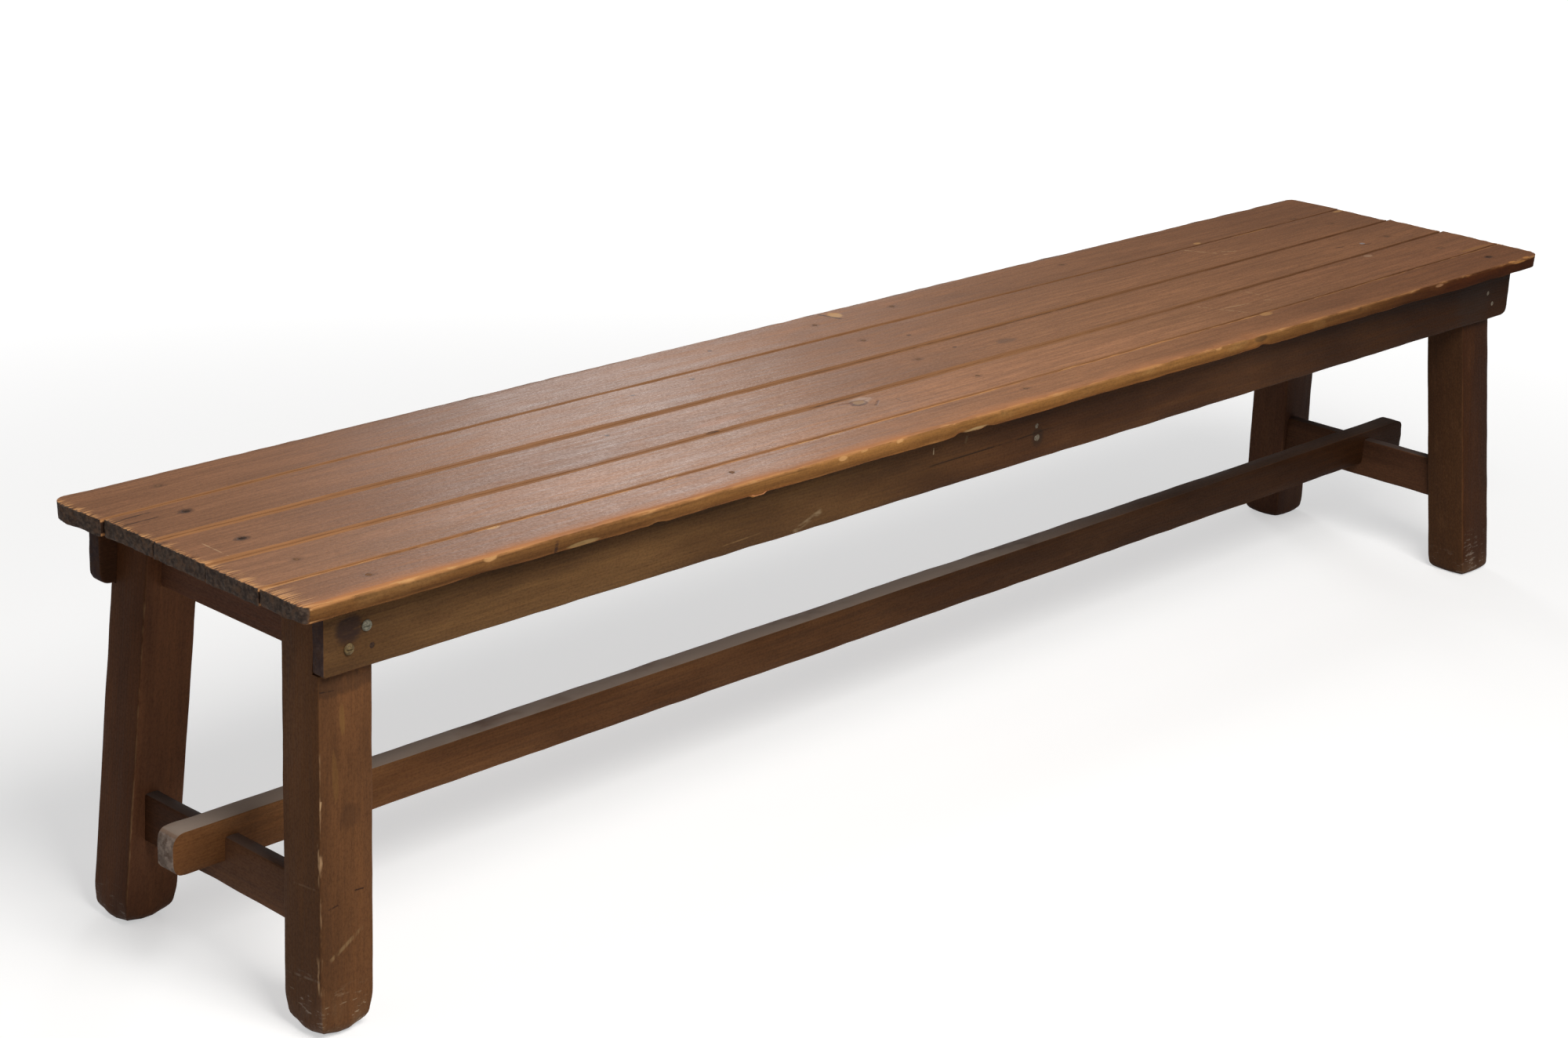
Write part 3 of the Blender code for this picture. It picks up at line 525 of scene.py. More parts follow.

    # the piece's own marks, face by face, and painted shade that darkens a whole face where one is given
    for face, marks in look.get("marks", {}).items():
        axis, sign = faces[face]
        other = t.place[3 - t.along - axis]
        shown = ramp(t.normal[axis] * sign, 0.5, 0.7)
        coats = [(1, marks["faceShade"], "MULTIPLY")] if "faceShade" in marks else []
        for measures, tone, share in inMetres(marks, "spots"):
            mask = t.oval(other, *measures) * share
            if share < 1:
                mask = mask * ramp(jag + slow * 0.3, 0.32, 0.62)
            coats.append((mask, tone))
            height = height - mask * shown * 0.5
        for measures, tone, share in inMetres(marks, "lines"):
            mask = t.stroke(other, *measures) * ramp(jag, 0.36, 0.54) * share
            coats.append((mask, tone))
            height = height - mask * shown * 0.7
        for (level,), tone, share in inMetres(marks, "tides"):
            mask = ramp(t.run + (slow - 0.5) * level * 2, level, 0) * share
            coats.append((mask * ramp(patch, 0.35, 0.6), tone))
        for (at, width), tone, share in inMetres(marks, "scuffs"):
            flecks = t.fibres(230, 55, 3, 0.7)
            mask = ramp(t.run - at, width, width * 0.3) * ramp(flecks + (patch - 0.5) * 0.5, 0.56, 0.68)
            coats.append((mask * share, tone))
        t.lay((shown, t.layered(t.tone, *coats)))

    if "dust" in look:
        settled = ramp(t.normal[2], 0.6, 0.95) * look["dust"] * ramp(t.blotch(9, 2), 0.15, 0.48)
        if "dustFade" in look:
            settled = settled * ramp(t.run, *look["dustFade"])
        t.lay((settled, look["dustTone"]))
        rough = rough + settled * 0.2

    t.feed("Base Color", t.tone)
    t.feed("Roughness", t.node("ShaderNodeClamp", {}, {0: rough, 1: 0.2, 2: 0.95}))
    t.feed("Normal", t.node("ShaderNodeBump", {}, {
        "Strength": look["bump"], "Distance": 0.0007, "Height": height}))
    t.feed("Specular IOR Level", look["gloss"])
    return t.material


def barShape(low, high, along):
    first, second = [i for i in range(3) if i != along]
    return {
        "along": along, "start": low[along], "end": high[along], "leanFirst": 0, "leanSecond": 0,
        "middleFirst": (low[first] + high[first]) / 2, "halfFirst": (high[first] - low[first]) / 2,
        "middleSecond": (low[second] + high[second]) / 2, "halfSecond": (high[second] - low[second]) / 2,
    }


# the seat: five planks, numbered from the back

seat = {
    "gap": 0.0009, "clearance": 0.0001,
    "ends": (-1.07, 1.0767),  # where the widths below are measured
    "widths": {1: (0.0748, 0.0855), 2: (0.0944, 0.0889), 3: (0.0911, 0.0868),
               4: (0.0777, 0.0870), 5: (0.0695, 0.0682)},
    "corners": {(1, "back", "left"): 0.024, (1, "back", "right"): 0.012,
                (5, "front", "left"): 0.011, (5, "front", "right"): 0.025},
    "innerCorner": 0.0012,
    "arrisFront": {1: 0.0026, 2: 0.0034, 3: 0.0034, 4: 0.0026, 5: 0.0032},
    "arrisBack": 0.002, "arrisEnd": 0.0046, "arrisUnder": 0.002,
    "lipWave": 0.0032, "endWear": {"left": 0.0022, "right": 0.001},
    # how far each seam bows off its straight line, towards the back: in the middle, at the left and right
    "bows": [(0, 0, 0), (-0.0046, -0.0095, 0.0025), (-0.0066, 0.0015, 0.0065),
             (-0.0092, 0.0065, 0.007), (-0.0098, 0, 0.0025), (-0.0019, 0, 0)],
    "bowReach": 1.05, "mostBow": 0.012,
    # how far an end's back and front corners lie to the right of the squared end
    "skewed": {(1, "left"): (-0.0042, 0.003), (1, "right"): (-0.011, -0.0035)},
}


def seamLine(seam):
    # where a seam crosses the seat at x = 0, and its slope
    left, right = [sum(w[end] for w in seat["widths"].values()) / 2
                   - sum(seat["widths"][n][end] for n in range(1, seam + 1)) for end in (0, 1)]
    start, end = seat["ends"]
    slope = (right - left) / (end - start)
    return left - slope * start, slope


def bowAt(values, x):
    # how far a bowed edge lies off its straight line at x, a number or a socket
    middle, left, right = values
    t = x / seat["bowReach"]
    square = t * t
    return (1 - square) * middle + square * (t * (right - left) / 2 + (left + right) / 2)


def seatNails(number):
    # the nails whose heads lie in this plank, and where
    found = []
    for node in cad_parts:
        if node.startswith("seat_nail"):
            low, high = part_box(node)
            x, y = (low.x + high.x) / 2, (low.y + high.y) / 2
            backAt, backSlope = seamLine(number - 1)
            frontAt, frontSlope = seamLine(number)
            if frontAt + frontSlope * x < y < backAt + backSlope * x:
                found.append((node, x, y))
    return found


# knocks along the front edge: x, how far in, how far down or up, reach
frontKnocks = {
    "upper": [(-0.844, 0.0022, 0.0014, 0.01), (-0.31, 0.0016, 0.0012, 0.008), (-0.252, 0.0018, 0.0012, 0.007),
              (-0.03, 0.003, 0.0022, 0.013), (0.334, 0.0024, 0.002, 0.009), (0.405, 0.004, 0.0034, 0.022),
              (0.62, 0.0012, 0.001, 0.008)],
    "lower": [(-0.62, 0.0016, 0.0016, 0.016), (-0.145, 0.002, 0.0018, 0.014), (-0.1, 0.0016, 0.0016, 0.013),
              (0.43, 0.0024, 0.0018, 0.015)],
}


def makeBoard(number):
    node = f"seat_board_{number}"
    low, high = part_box(node)
    high.z -= seat["clearance"]
    piece = blank(f"plank_{number}", low, high)
    backAt, backSlope = seamLine(number - 1)
    frontAt, frontSlope = seamLine(number)
    backAt -= seat["gap"] / 2 if number > 1 else 0
    frontAt += seat["gap"] / 2 if number < 5 else 0
    openMesh(piece)
    for x in (low.x, high.x):
        for y, line in ((high.y, backAt + backSlope * x), (low.y, frontAt + frontSlope * x)):
            slide("VERT", lambda v: abs(v.co.x - x) < 0.01 and abs(v.co.y - y) < 0.001, (0, line - y, 0))
    middle = (low.y + high.y) / 2
    for x, end in ((low.x, "left"), (high.x, "right")):
        rearward, forward = seat["skewed"].get((number, end), (0, 0))
        slide("VERT", lambda v: abs(v.co.x - x) < 0.001 and v.co.y > middle, (rearward, 0, 0))
        slide("VERT", lambda v: abs(v.co.x - x) < 0.001 and v.co.y < middle, (forward, 0, 0))
    for side in ("back", "front"):
        for end in ("left", "right"):
            radius = seat["corners"].get((number, side, end), seat["innerCorner"])
            roundOff(lambda e: runsAlong(e, 2) and (middleOf(e).x > 0) == (end == "right")
                     and (middleOf(e).y > middle) == (side == "back"), radius, 5)
    radii = {"front": seat["arrisFront"][number], "back": seat["arrisBack"], "end": seat["arrisEnd"]}
    for side, radius in radii.items():
        def onSide(edge):
            at = middleOf(edge)
            if runsAlong(edge, 2) or not sharp(edge) or at.z < high.z - 0.001:
                return False
            long = runsAlong(edge, 0, 0.5)
            return not long if side == "end" else long and (at.y > middle) == (side == "back")
        roundOff(onSide, radius, 4)
    roundOff(lambda e: not runsAlong(e, 2) and sharp(e) and middleOf(e).z < low.z + 0.001,
             seat["arrisUnder"], 2)
    sliceAt(0, [low.x + 0.0022 * i for i in range(2, 17)] + [high.x - 0.0022 * i for i in range(2, 17)])
    centreAt, centreSlope = (backAt + frontAt) / 2, (backSlope + frontSlope) / 2
    half = (backAt - frontAt) / 2
    shares = (-0.84, -0.66, -0.4, -0.13, 0.13, 0.4, 0.66, 0.84)
    sliceAt(1, [centreAt + half * share for share in shares], -centreSlope)
    for x in (low.x, high.x):
        sliceAt(1, [centreAt + half * (i / 15 - 1) for i in range(1, 30)], -centreSlope,
                lambda f: abs(f.calc_center_median().x - x) < 0.03)
    sliceAt(2, [(low.z + high.z) / 2 + 0.001, (low.z + high.z) / 2 - 0.004])
    divideLong(0, 0.5, 99)
    divideLong(0, 0.012, 3)
    joinSlivers()
    closeMesh()

    def edgeGaps(co):
        # how far a place lies from the plank's back and front edges
        return backAt + backSlope * co.x - co.y, co.y - frontAt - frontSlope * co.x

    def besideArris(co, spread, back=True):
        across = min(edgeGaps(co)) if back else edgeGaps(co)[1]
        gaps = sorted((across, min(high.z - co.z, co.z - low.z), min(co.x - low.x, high.x - co.x)))
        return max(0, 1 - gaps[1] / spread)

    def offSeams(co):
        # the seams keep their width, the seat's outer edges don't
        back, front = edgeGaps(co)
        return min(back if number > 1 else 1, front if number < 5 else 1) / 0.008

    erode(piece, gather(piece, "all", offSeams), 0.28, 0.0007, (1, 1, 1), number, detail=1)
    erode(piece, gather(piece, "arris", lambda co: besideArris(co, 0.006)), 0.014, 0.0013, (3, 1, 1),
          number + 7)
    for name, x, sign in (("left", low.x, 1), ("right", high.x, -1)):
        group = gather(piece, name, lambda co: max(0, 1 - sign * (co.x - x) / 0.014))
        erode(piece, group, 0.008, -sign * seat["endWear"][name], (5, 1, 1), number + 13, 3, "X")

    bows = seat["bows"][number - 1:number + 1]

    def bowed(co):
        rearLine, frontLine = backAt + backSlope * co.x, frontAt + frontSlope * co.x
        share = (co.y - frontLine) / (rearLine - frontLine)
        return (bowAt(bows[0], co.x) * share + bowAt(bows[1], co.x) * (1 - share)) / seat["mostBow"]

    groups = [(sign, gather(piece, f"bow {sign}", lambda co: sign * bowed(co))) for sign in (-1, 1)]
    for sign, group in groups:
        modifierOn(piece, "DISPLACE", {"direction": "Y", "strength": sign * seat["mostBow"],
                                       "mid_level": 0, "vertex_group": group})

    if number == 5:
        erode(piece, gather(piece, "lip", lambda co: besideArris(co, 0.012, False) * (co.z < 0.456)), 0.045,
              seat["lipWave"], (2, 1, 1), 31)

        def undercut(co):
            # the right corner's underside, knocked away
            reach = (co - Vector((high.x, low.y, low.z))).length
            return max(0, 1 - reach / 0.045) * (high.z - 0.004 - co.z) / 0.015

        modifierOn(piece, "DISPLACE", {"direction": "Z", "strength": 0.001, "mid_level": 0,
                                       "vertex_group": gather(piece, "undercut", undercut)})
        openMesh(piece)
        for z, way, edge in ((high.z, -1, "upper"), (low.z, 1, "lower")):
            for x, inward, upright, reach in frontKnocks[edge]:
                nudge((x, frontAt + frontSlope * x, z), (0, inward, way * upright), reach)
        closeMesh()
    nailPits(piece, [nail for nail, x, y in seatNails(number)], 2)
    finishShape(piece, 60)
    place(piece, node)
    return piece, dict(barShape(low, high, 0), middleFirst=centreAt, leanFirst=centreSlope, halfFirst=half,
                       taper=(backSlope - frontSlope) / 2, bows=bows)


seatLook = dict(
    dark=(147, 102, 70), light=(166, 116, 80), lateWood=(122, 82, 54), ringShare=0.14,
    fibre=(110, 74, 49), fibreShare=0.36, tick=(80, 53, 38), tickShare=0.4,
    patch=(180, 124, 86), patchShare=0.3, patchSize=16, broad=2.2, gritShare=0.22,
    # the far band tone, darker at the right end, is partly painted shade
    bandShare=0.85, bandTone=(152, 105, 66), bandNear=(184, 126, 76), bandFarShaded=(98, 60, 33),
    # the two dark tones that follow are painted shade, down in the seams and along open seams
    gapShadeTone=(50, 32, 22), openSeamShadeTone=(66, 42, 28),
    endBrown=(104, 76, 56), endDark=(54, 42, 36), endLight=(98, 81, 69), endScale=190,
    endTurn=(0.42, 0.66), endRagged=(0.014, 0.006), plainEnds=1,
    wornTone=(142, 98, 64), wornFarShade=0.9, wearShare=0.75, wearWidth=0.003,
    paleTone=(200, 152, 100), paleShare=0.2, ringRelief=0.2,
    fray=(0.06, 0.022), frayTone=(204, 150, 98), splitTone=(72, 48, 33),
    # darker towards both ends: partly the stain's own tone, partly painted shade
    toneShadeFades=[(-0.3, -0.9, 1, (238, 236, 236)), (0.2, 1, 0.3, (200, 184, 176))],
    rough=0.41, matte=(-0.45, 0.1, 0, 0.12), bump=0.38, gloss=0.14, wander=0.02, ring=0.0042)

darkNails = ("seat_nail_left_2", "seat_nail_left_3", "seat_nail_right_5", "apron_nail_front_left",
             "lap_nail_left", "lap_nail_right")
nailStains = ((12, 7.5, (74, 50, 36), 0.75), (6, 5, (40, 28, 22), 1))  # round each head, the wide one first
stain, bare, scratch, chip = (58, 38, 28), (196, 148, 92), (206, 170, 128), (204, 154, 100)
edgeTone, crack, swirl = (190, 132, 74), (52, 34, 24), (112, 78, 58)

# each plank's own figure and marks. Marks are places on the bench in millimetres: a spot's middle and
# half sizes, a line's ends and width, a tide's height, where a scuff starts and how far it reaches
plankLooks = {
    1: dict(band=(0.0032, 0.001), seed=1, pithAcross=0.01, pithDown=0.075, marks=dict(top=dict(
        spots=[(62, 186, 12, 14, bare, 0.9), (737, 128, 8, 5, bare, 0.7),
               (-175, 170, 4, 3, stain, 0.8)],
        lines=[(46, 204, 57, 166, 2.6, stain, 0.9)]))),
    2: dict(band=(0.006, 0.0032), seed=2.3, pithAcross=-0.022, pithDown=0.06, marks=dict(top=dict(
        spots=[(-273, 99, 5, 3, stain, 0.8), (-372, 95, 4, 3, stain, 0.7), (68, 67, 5, 3, stain, 0.7),
               (855, 120.5, 50, 2.6, (172, 120, 70), 0.7), (1066, 118, 16, 4, bare, 0.7)],
        lines=[(-1070, 106, -1018, 108, 1.6, stain, 0.9), (-1070, 91, -1020, 91, 1.4, stain, 0.9),
               (684, 125, 726, 56, 1.4, scratch, 0.6), (725, 80, 748, 68, 1.4, scratch, 0.5)]))),
    3: dict(band=(0.006, 0.006), seed=3.9, pithAcross=0.028, pithDown=0.085,
            # its crease is a painted shade line along an open seam
            openSeamShadeLines=[(-0.16, 0.38, 0.0034, 0.8)], marks=dict(top=dict(
        spots=[(145, -24, 22, 9, (112, 82, 62), 0.7), (-398, -60, 12, 4, stain, 0.8),
               (-366, -36, 44, 10, (164, 108, 70), 0.5), (-496, 5, 4, 3, stain, 0.8),
               (73, -3, 4, 3, stain, 0.7), (929, -15.4, 5, 4, (150, 146, 148), 0.8)],
        lines=[(-1036, 3, -1037, -45, 1.1, scratch, 0.45), (-269, -32, -262, -38, 1.6, scratch, 0.9),
               (872, -5, 954, -28, 1.6, stain, 0.9)]))),
    4: dict(band=(0.0032, 0.006), seed=5.2, pithAcross=-0.012, pithDown=0.065, dark=(157, 111, 77),
            # its crease is a painted shade line along an open seam
            light=(178, 125, 88), fray=(0.075, 0.022), openSeamShadeLines=[(-0.255, -0.15, 0.0044, 0.9)],
            # darker towards both ends: partly the stain's own tone, partly painted shade
            toneShadeFades=[(-0.5, -0.95, 1, (240, 238, 238)), (0.2, 1, 0.55, (200, 184, 176))], marks=dict(top=dict(
        spots=[(-181, -80, 20, 11, (180, 152, 134), 0.6), (-189.5, -85.7, 15, 11.8, (96, 62, 42), 1),
               (-188, -84.6, 10.8, 7.6, (150, 112, 74), 1), (1040, -131, 50, 4, (156, 108, 60), 0.7),
               (875, -61.5, 10, 6, (176, 140, 112), 0.6)],
        lines=[(-214, -75.5, -194, -83.5, 3, (122, 76, 50), 1),
               (-182, -105.5, -161, -91, 2.6, (110, 74, 52), 0.95), (-167, -78.5, -147, -82.5, 1.8, swirl, 0.7),
               (-138, -88, -145, -116, 2, (120, 84, 60), 0.7), (-145, -115, -130, -121, 1.8, swirl, 0.7),
               (480, -100, 540, -108, 1.4, scratch, 0.45),
               (556, -106, 585, -120, 1.4, scratch, 0.5), (462, -69, 497, -134, 1.4, scratch, 0.5),
               (576, -60, 584, -105, 1.4, scratch, 0.5)]))),
    5: dict(band=(0.0075, 0.0032), seed=6.6, pithAcross=0.018, pithDown=0.055, fray=(0.13, 0.03),
            # its crease is a painted shade line along an open seam
            bandTone=(158, 110, 75), openSeamShadeLines=[(-1.062, -0.8, 0.0038, 0.85)],
            # darker towards both ends: partly the stain's own tone, partly painted shade
            toneShadeFades=[(-0.3, -0.9, 1, (238, 236, 236)), (0.1, 1, 0.7, (188, 170, 156))],
            # of the front edge tones, the far one darkens it towards the right end, partly painted shade, and
            # the under one is painted shade on its lower part
            lip=((138, 95, 49), (168, 117, 62)), lipScuff=(184, 138, 82), lipFarShade=(124, 92, 68),
            lipNear=(204, 202, 206), lipUnderShade=(218, 208, 196), ridgeTone=(188, 132, 82),
            rimTone=(186, 126, 84), marks=dict(
        top=dict(spots=[(509, -152, 14, 6, bare, 0.5), (-788, -142, 10, 5, bare, 0.9),
                        (1012, -206, 10, 4, edgeTone, 0.8), (1052, -204, 10, 4, edgeTone, 0.8)]),
        front=dict(
            spots=[(-844, 461, 10, 5, chip, 0.8), (-252, 460, 7, 3.4, chip, 0.9),
                   (-310, 461, 6, 2.4, chip, 0.7), (-344, 459, 8, 3.4, chip, 0.8),
                   (-121, 447, 24, 4, (186, 158, 112), 0.8), (334, 460, 8, 2.6, chip, 0.6),
                   (-722, 448, 24, 3.4, (172, 144, 96), 0.55), (829, 459.5, 12, 2.6, (170, 124, 88), 0.7),
                   (1030, 460, 22, 1.8, edgeTone, 0.7), (425, 457, 14, 5, (74, 52, 32), 0.6)],
            lines=[(-759, 445, -758, 460, 3.2, stain, 0.9)]))),
}

for number in range(1, 6):
    piece, shape = makeBoard(number)
    look = dict(seatLook, **plankLooks[number])
    spots = look["marks"]["top"]["spots"]
    for nail, x, y in seatNails(number):
        strength = 0.95 if nail in darkNails else 0.28
        for halfAlong, halfAcross, tone, share in nailStains:
            spots.append((x * 1000, y * 1000, halfAlong, halfAcross, tone, strength * share))
    dress(piece, paintTimber(f"plank {number} worn stain", shape, look))
    print("plank", number, "made:", len(piece.data.polygons), "faces")


# the frame under the seat

under = dict(top=0.4437, apronFoot=0.3737, halfSpread=1.0285, legFace=0.17025, legWidth=0.0655,
             legDepth=0.0595)


def wornBar(name, node, low, high, along, values):
    # a squared bar with rounded arrises, cut across along its length and worn
    piece = blank(name, low, high)
    openMesh(piece)
    if "shape" in values:
        values["shape"](low, high)
    if "tips" in values:
        level, *uprights = values["tips"]
        roundOff(lambda e: runsAlong(e, 1), level, 6)
        for side, upright in zip((-1, 1), uprights):
            roundOff(lambda e: sharp(e, 0.7) and runsAlong(e, 2) and middleOf(e).x * side > 0, upright, 4)
    roundOff(lambda e: sharp(e) and (runsAlong(e, along) or "tips" not in values), values["arris"], 3)
    step = 0.003
    sliceAt(along, [low[along] + step * i + 0.001 for i in range(1, 8)]
            + [high[along] - step * i - 0.001 for i in range(1, 8)])
    for axis in range(3):
        if axis != along:
            size = high[axis] - low[axis]
            parts = max(2, round(size / 0.012))
            sliceAt(axis, [low[axis] + size * i / parts for i in range(1, parts)])
    divideLong(along, 0.08, values["cuts"])
    for spot, move, reach in values.get("knocks", []):
        nudge(spot, move, reach)
    joinSlivers()
    closeMesh()

    lean = values.get("lean", (0, 0))

    def besideArris(co, spread):
        level = Vector((co.x - lean[0] * co.z, co.y - lean[1] * co.z, co.z))
        gaps = sorted(min(level[i] - low[i], high[i] - level[i]) for i in range(3))
        return max(0, 1 - gaps[1] / spread)

    stretch = [1, 1, 1]
    stretch[along] = 3
    seed = values["seed"]
    erode(piece, gather(piece, "all", lambda co: 1), 0.12, values.get("warp", 0.0006), (1, 1, 1),
          seed, detail=1)
    erode(piece, gather(piece, "arris", lambda co: besideArris(co, 0.006)), 0.016,
          values.get("wear", 0.0014), stretch, seed + 5)
    if "cutter" in values:
        carve(piece, blank("cutter", *values["cutter"]))
    nailPits(piece, values.get("nails", []), 1)
    finishShape(piece)
    place(piece, node)
    shape = dict(barShape(low, high, along), leanFirst=lean[0], leanSecond=lean[1])
    dress(piece, paintTimber(node + " stain", shape, {**frameLook, "seed": seed, **values["look"]}))
    print(node, "made:", len(piece.data.polygons), "faces")


frameLook = dict(
    dark=(76, 49, 34), light=(94, 62, 42), lateWood=(60, 39, 28), ringShare=0.12,
    fibre=(54, 35, 25), fibreShare=0.22, tick=(36, 24, 18), tickShare=0.3,
    # the far tone that worn arrises darken to at the right end is partly painted shade
    patch=(102, 70, 46), patchShare=0.28, patchSize=14, broad=4, gritShare=0.26, bandFarShaded=(70, 48, 32),
    endBrown=(74, 52, 40), endDark=(60, 48, 48), endLight=(78, 63, 58), endScale=90,
    endTurn=(0.55, 0.85), plainEnds=0, pithAcross=0.02, pithDown=0.05,
    wornTone=(112, 76, 48), wornFarShade=0.6, wearShare=0.55, wearWidth=0.0026,
    paleTone=(176, 140, 104), paleShare=0.3, ringRelief=0.25,
    rough=0.58, bump=0.35, gloss=0.07, wander=0.015, ring=0.0038)

aprons = {
    "front_apron": dict(corners=(0.004, 0.014), seed=8, look=dict(
        seed=8, endDark=(66, 52, 50), endLight=(86, 69, 63), dark=(93, 65, 38), light=(121, 88, 53),
        # darker towards the right end: partly the stain's own tone, partly painted shade
        toneShadeFades=[(-0.45, 0, 1, (199, 182, 184)), (0.4, 0.95, 1, (177, 160, 121))], marks=dict(front=dict(
            # the long dark spot along the top edge, 436 mm up, is painted shade under the seat's overhang
            spots=[(-999, 418, 20, 17, (40, 30, 32), 0.75), (-500, 436, 500, 8, (52, 38, 26), 0.5),
                   (24, 402, 13, 14, (48, 34, 24), 0.7), (24, 401, 4.5, 4.5, (120, 112, 96), 0.9),
                   (970, 405, 50, 50, (48, 34, 26), 0.5)],
            lines=[(-391, 376, -343, 393, 4.4, (150, 128, 98), 0.6),
                   (-176, 405.5, -17, 406, 1.2, (40, 28, 18), 0.9), (-17, 406, 50, 409, 1.2, (40, 28, 18), 0.8),
                   (-162, 418, -162, 427, 1.2, (180, 160, 130), 0.8),
                   (-107, 420, -104, 430, 3, (120, 104, 78), 0.5),
                   (-520, 385, -430, 388, 1, (140, 108, 70), 0.5)])))),
    "back_apron": dict(corners=(0.014, 0.014), seed=9, look=dict(seed=9.4, pithAcross=-0.02)),
}

for node, values in aprons.items():
    low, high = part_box(node)
    side = node.split("_")[0]

    def shapeApron(low, high):
        for way, radius in zip((-1, 1), values["corners"]):
            roundOff(lambda e: runsAlong(e, 1) and middleOf(e).z < low.z + 0.001
                     and middleOf(e).x * way > 0, radius, 6)

    heads = [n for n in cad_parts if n.startswith(f"apron_nail_{side}")]
    wornBar(node + "_board", node, low, high, 0, dict(
        values, arris=0.002, cuts=99, shape=shapeApron, nails=heads))


legLook = dict(pithAcross=0.06, ringShare=0.06, fibreShare=0.16, patchShare=0.4, wornFarShade=0)

# how far each leg leans along the bench and across it, in degrees, and its worn foot
legs = {
    "leg_front_left": dict(along=3.4, across=4.3, foot=0.014, knock=0.004, seed=11, look=dict(
        dark=(92, 60, 36), light=(114, 75, 45),
        rubs=[(0.16, 0.212, 0.0085, 0.85), (0.048, 0.092, 0.01, 0.85), (0.09, 0.3, 0.003, 0.5)],
        marks=dict(
            front=dict(
                # the first spot, a dark band 360 mm up, is painted shadow under the apron's lower edge
                spots=[(360, -1010, 12, 80, (58, 40, 28), 0.5), (325, -1004, 20, 4, (132, 98, 52), 0.35),
                       (270, -1016, 30, 5, (126, 90, 48), 0.3), (225, -1002, 16, 16, (66, 44, 30), 0.4)],
                lines=[(83, -1036, 108, -991, 3, (158, 130, 92), 0.4),
                       (359, -1040, 356, -1010, 1, (44, 30, 22), 0.9),
                       (137, -1034, 139, -1020, 1.2, crack, 0.9), (148, -1001, 147, -988, 1.2, crack, 0.9),
                       (240, -1036, 250, -1034, 1.2, scratch, 0.8)],
                scuffs=[(0, 60, (172, 150, 122), 0.8)], tides=[(45, (120, 92, 66), 0.5)]),
            left=dict(
                lines=[(66, -200, 60, -150, 1.8, (140, 120, 104), 0.4),
                       (158, -180, 154, -142, 1.4, (120, 92, 70), 0.5)],
                scuffs=[(0, 85, (152, 134, 120), 0.8)], tides=[(55, (104, 84, 74), 0.5)])))),
    "leg_back_left": dict(along=3.4, across=3.2, foot=0.013, knock=0.0034, seed=12, look=dict(
        dark=(107, 69, 47), light=(131, 86, 57), rubs=[(0.02, 0.37, 0.0026, 0.5)], marks=dict(
            # painted shade: the left face darkened as a whole
            left=dict(faceShade=(200, 193, 182), scuffs=[(0, 50, (150, 138, 130), 0.6)],
                      tides=[(50, (110, 92, 82), 0.5)]),
            front=dict(tides=[(30, (100, 80, 66), 0.4)])))),
    "leg_front_right": dict(along=4.8, across=4.4, foot=0.008, knock=0.0012, seed=13, look=dict(
        dark=(66, 42, 26), light=(80, 52, 31), marks=dict(
            left=dict(scuffs=[(0, 40, (150, 134, 120), 0.6)], tides=[(30, (96, 74, 56), 0.5)]),
            # painted shade: the front face darkened as a whole
            front=dict(faceShade=(228, 210, 196), scuffs=[(15, 60, (150, 134, 120), 0.5)],
                       tides=[(40, (110, 84, 62), 0.5)])))),
    "leg_back_right": dict(along=4.8, across=2.3, foot=0.008, knock=0.002, seed=14, look=dict(
        dark=(84, 55, 41), light=(103, 69, 49))),
}

for node, values in legs.items():
    endSign = -1 if node.endswith("left") else 1
    sideSign = -1 if "front" in node else 1
    leans, spans = [], []
    for way, tilt, face, size in ((endSign, "along", "halfSpread", "legWidth"),
                                  (sideSign, "across", "legFace", "legDepth")):
        lean = -way * math.tan(math.radians(values[tilt]))  # how far it moves for each metre up
        outer = way * under[face] - lean * under["apronFoot"]
        leans.append(lean)
        spans.append(sorted((outer, outer - way * under[size])))
    (lowX, highX), (lowY, highY) = spans
    low, high = Vector((lowX, lowY, 0)), Vector((highX, highY, under["top"]))

    def shapeLeg(low, high):
        slide("VERT", lambda v: v.co.z > 0.2, (leans[0] * high.z, leans[1] * high.z, 0))
        roundOff(lambda e: middleOf(e).z < 0.001, values["foot"], 5)

    knocks = []
    for x in (low.x, high.x):
        for y in (low.y, high.y):
            inward = Vector(((low.x + high.x) / 2 - x, (low.y + high.y) / 2 - y, 0)).normalized()
            knocks.append(((x, y, 0), (inward + Vector((0, 0, 1))) * values["knock"], values["foot"] * 2.4))

    face = under["legFace"] + 0.009
    near, far = sideSign * (face - 0.0193), sideSign * (face + 0.02)
    cutter = ((lowX - 0.08, min(near, far), under["apronFoot"] - 0.0003),
              (highX + 0.08, max(near, far), under["top"] + 0.02))
    wornBar(node + "_post", node, low, high, 2, dict(
        values, arris=0.0022, cuts=60, shape=shapeLeg, lean=leans, warp=0.0003, wear=0.0009,
        cutter=cutter, knocks=knocks, look=dict(legLook, **values["look"])))


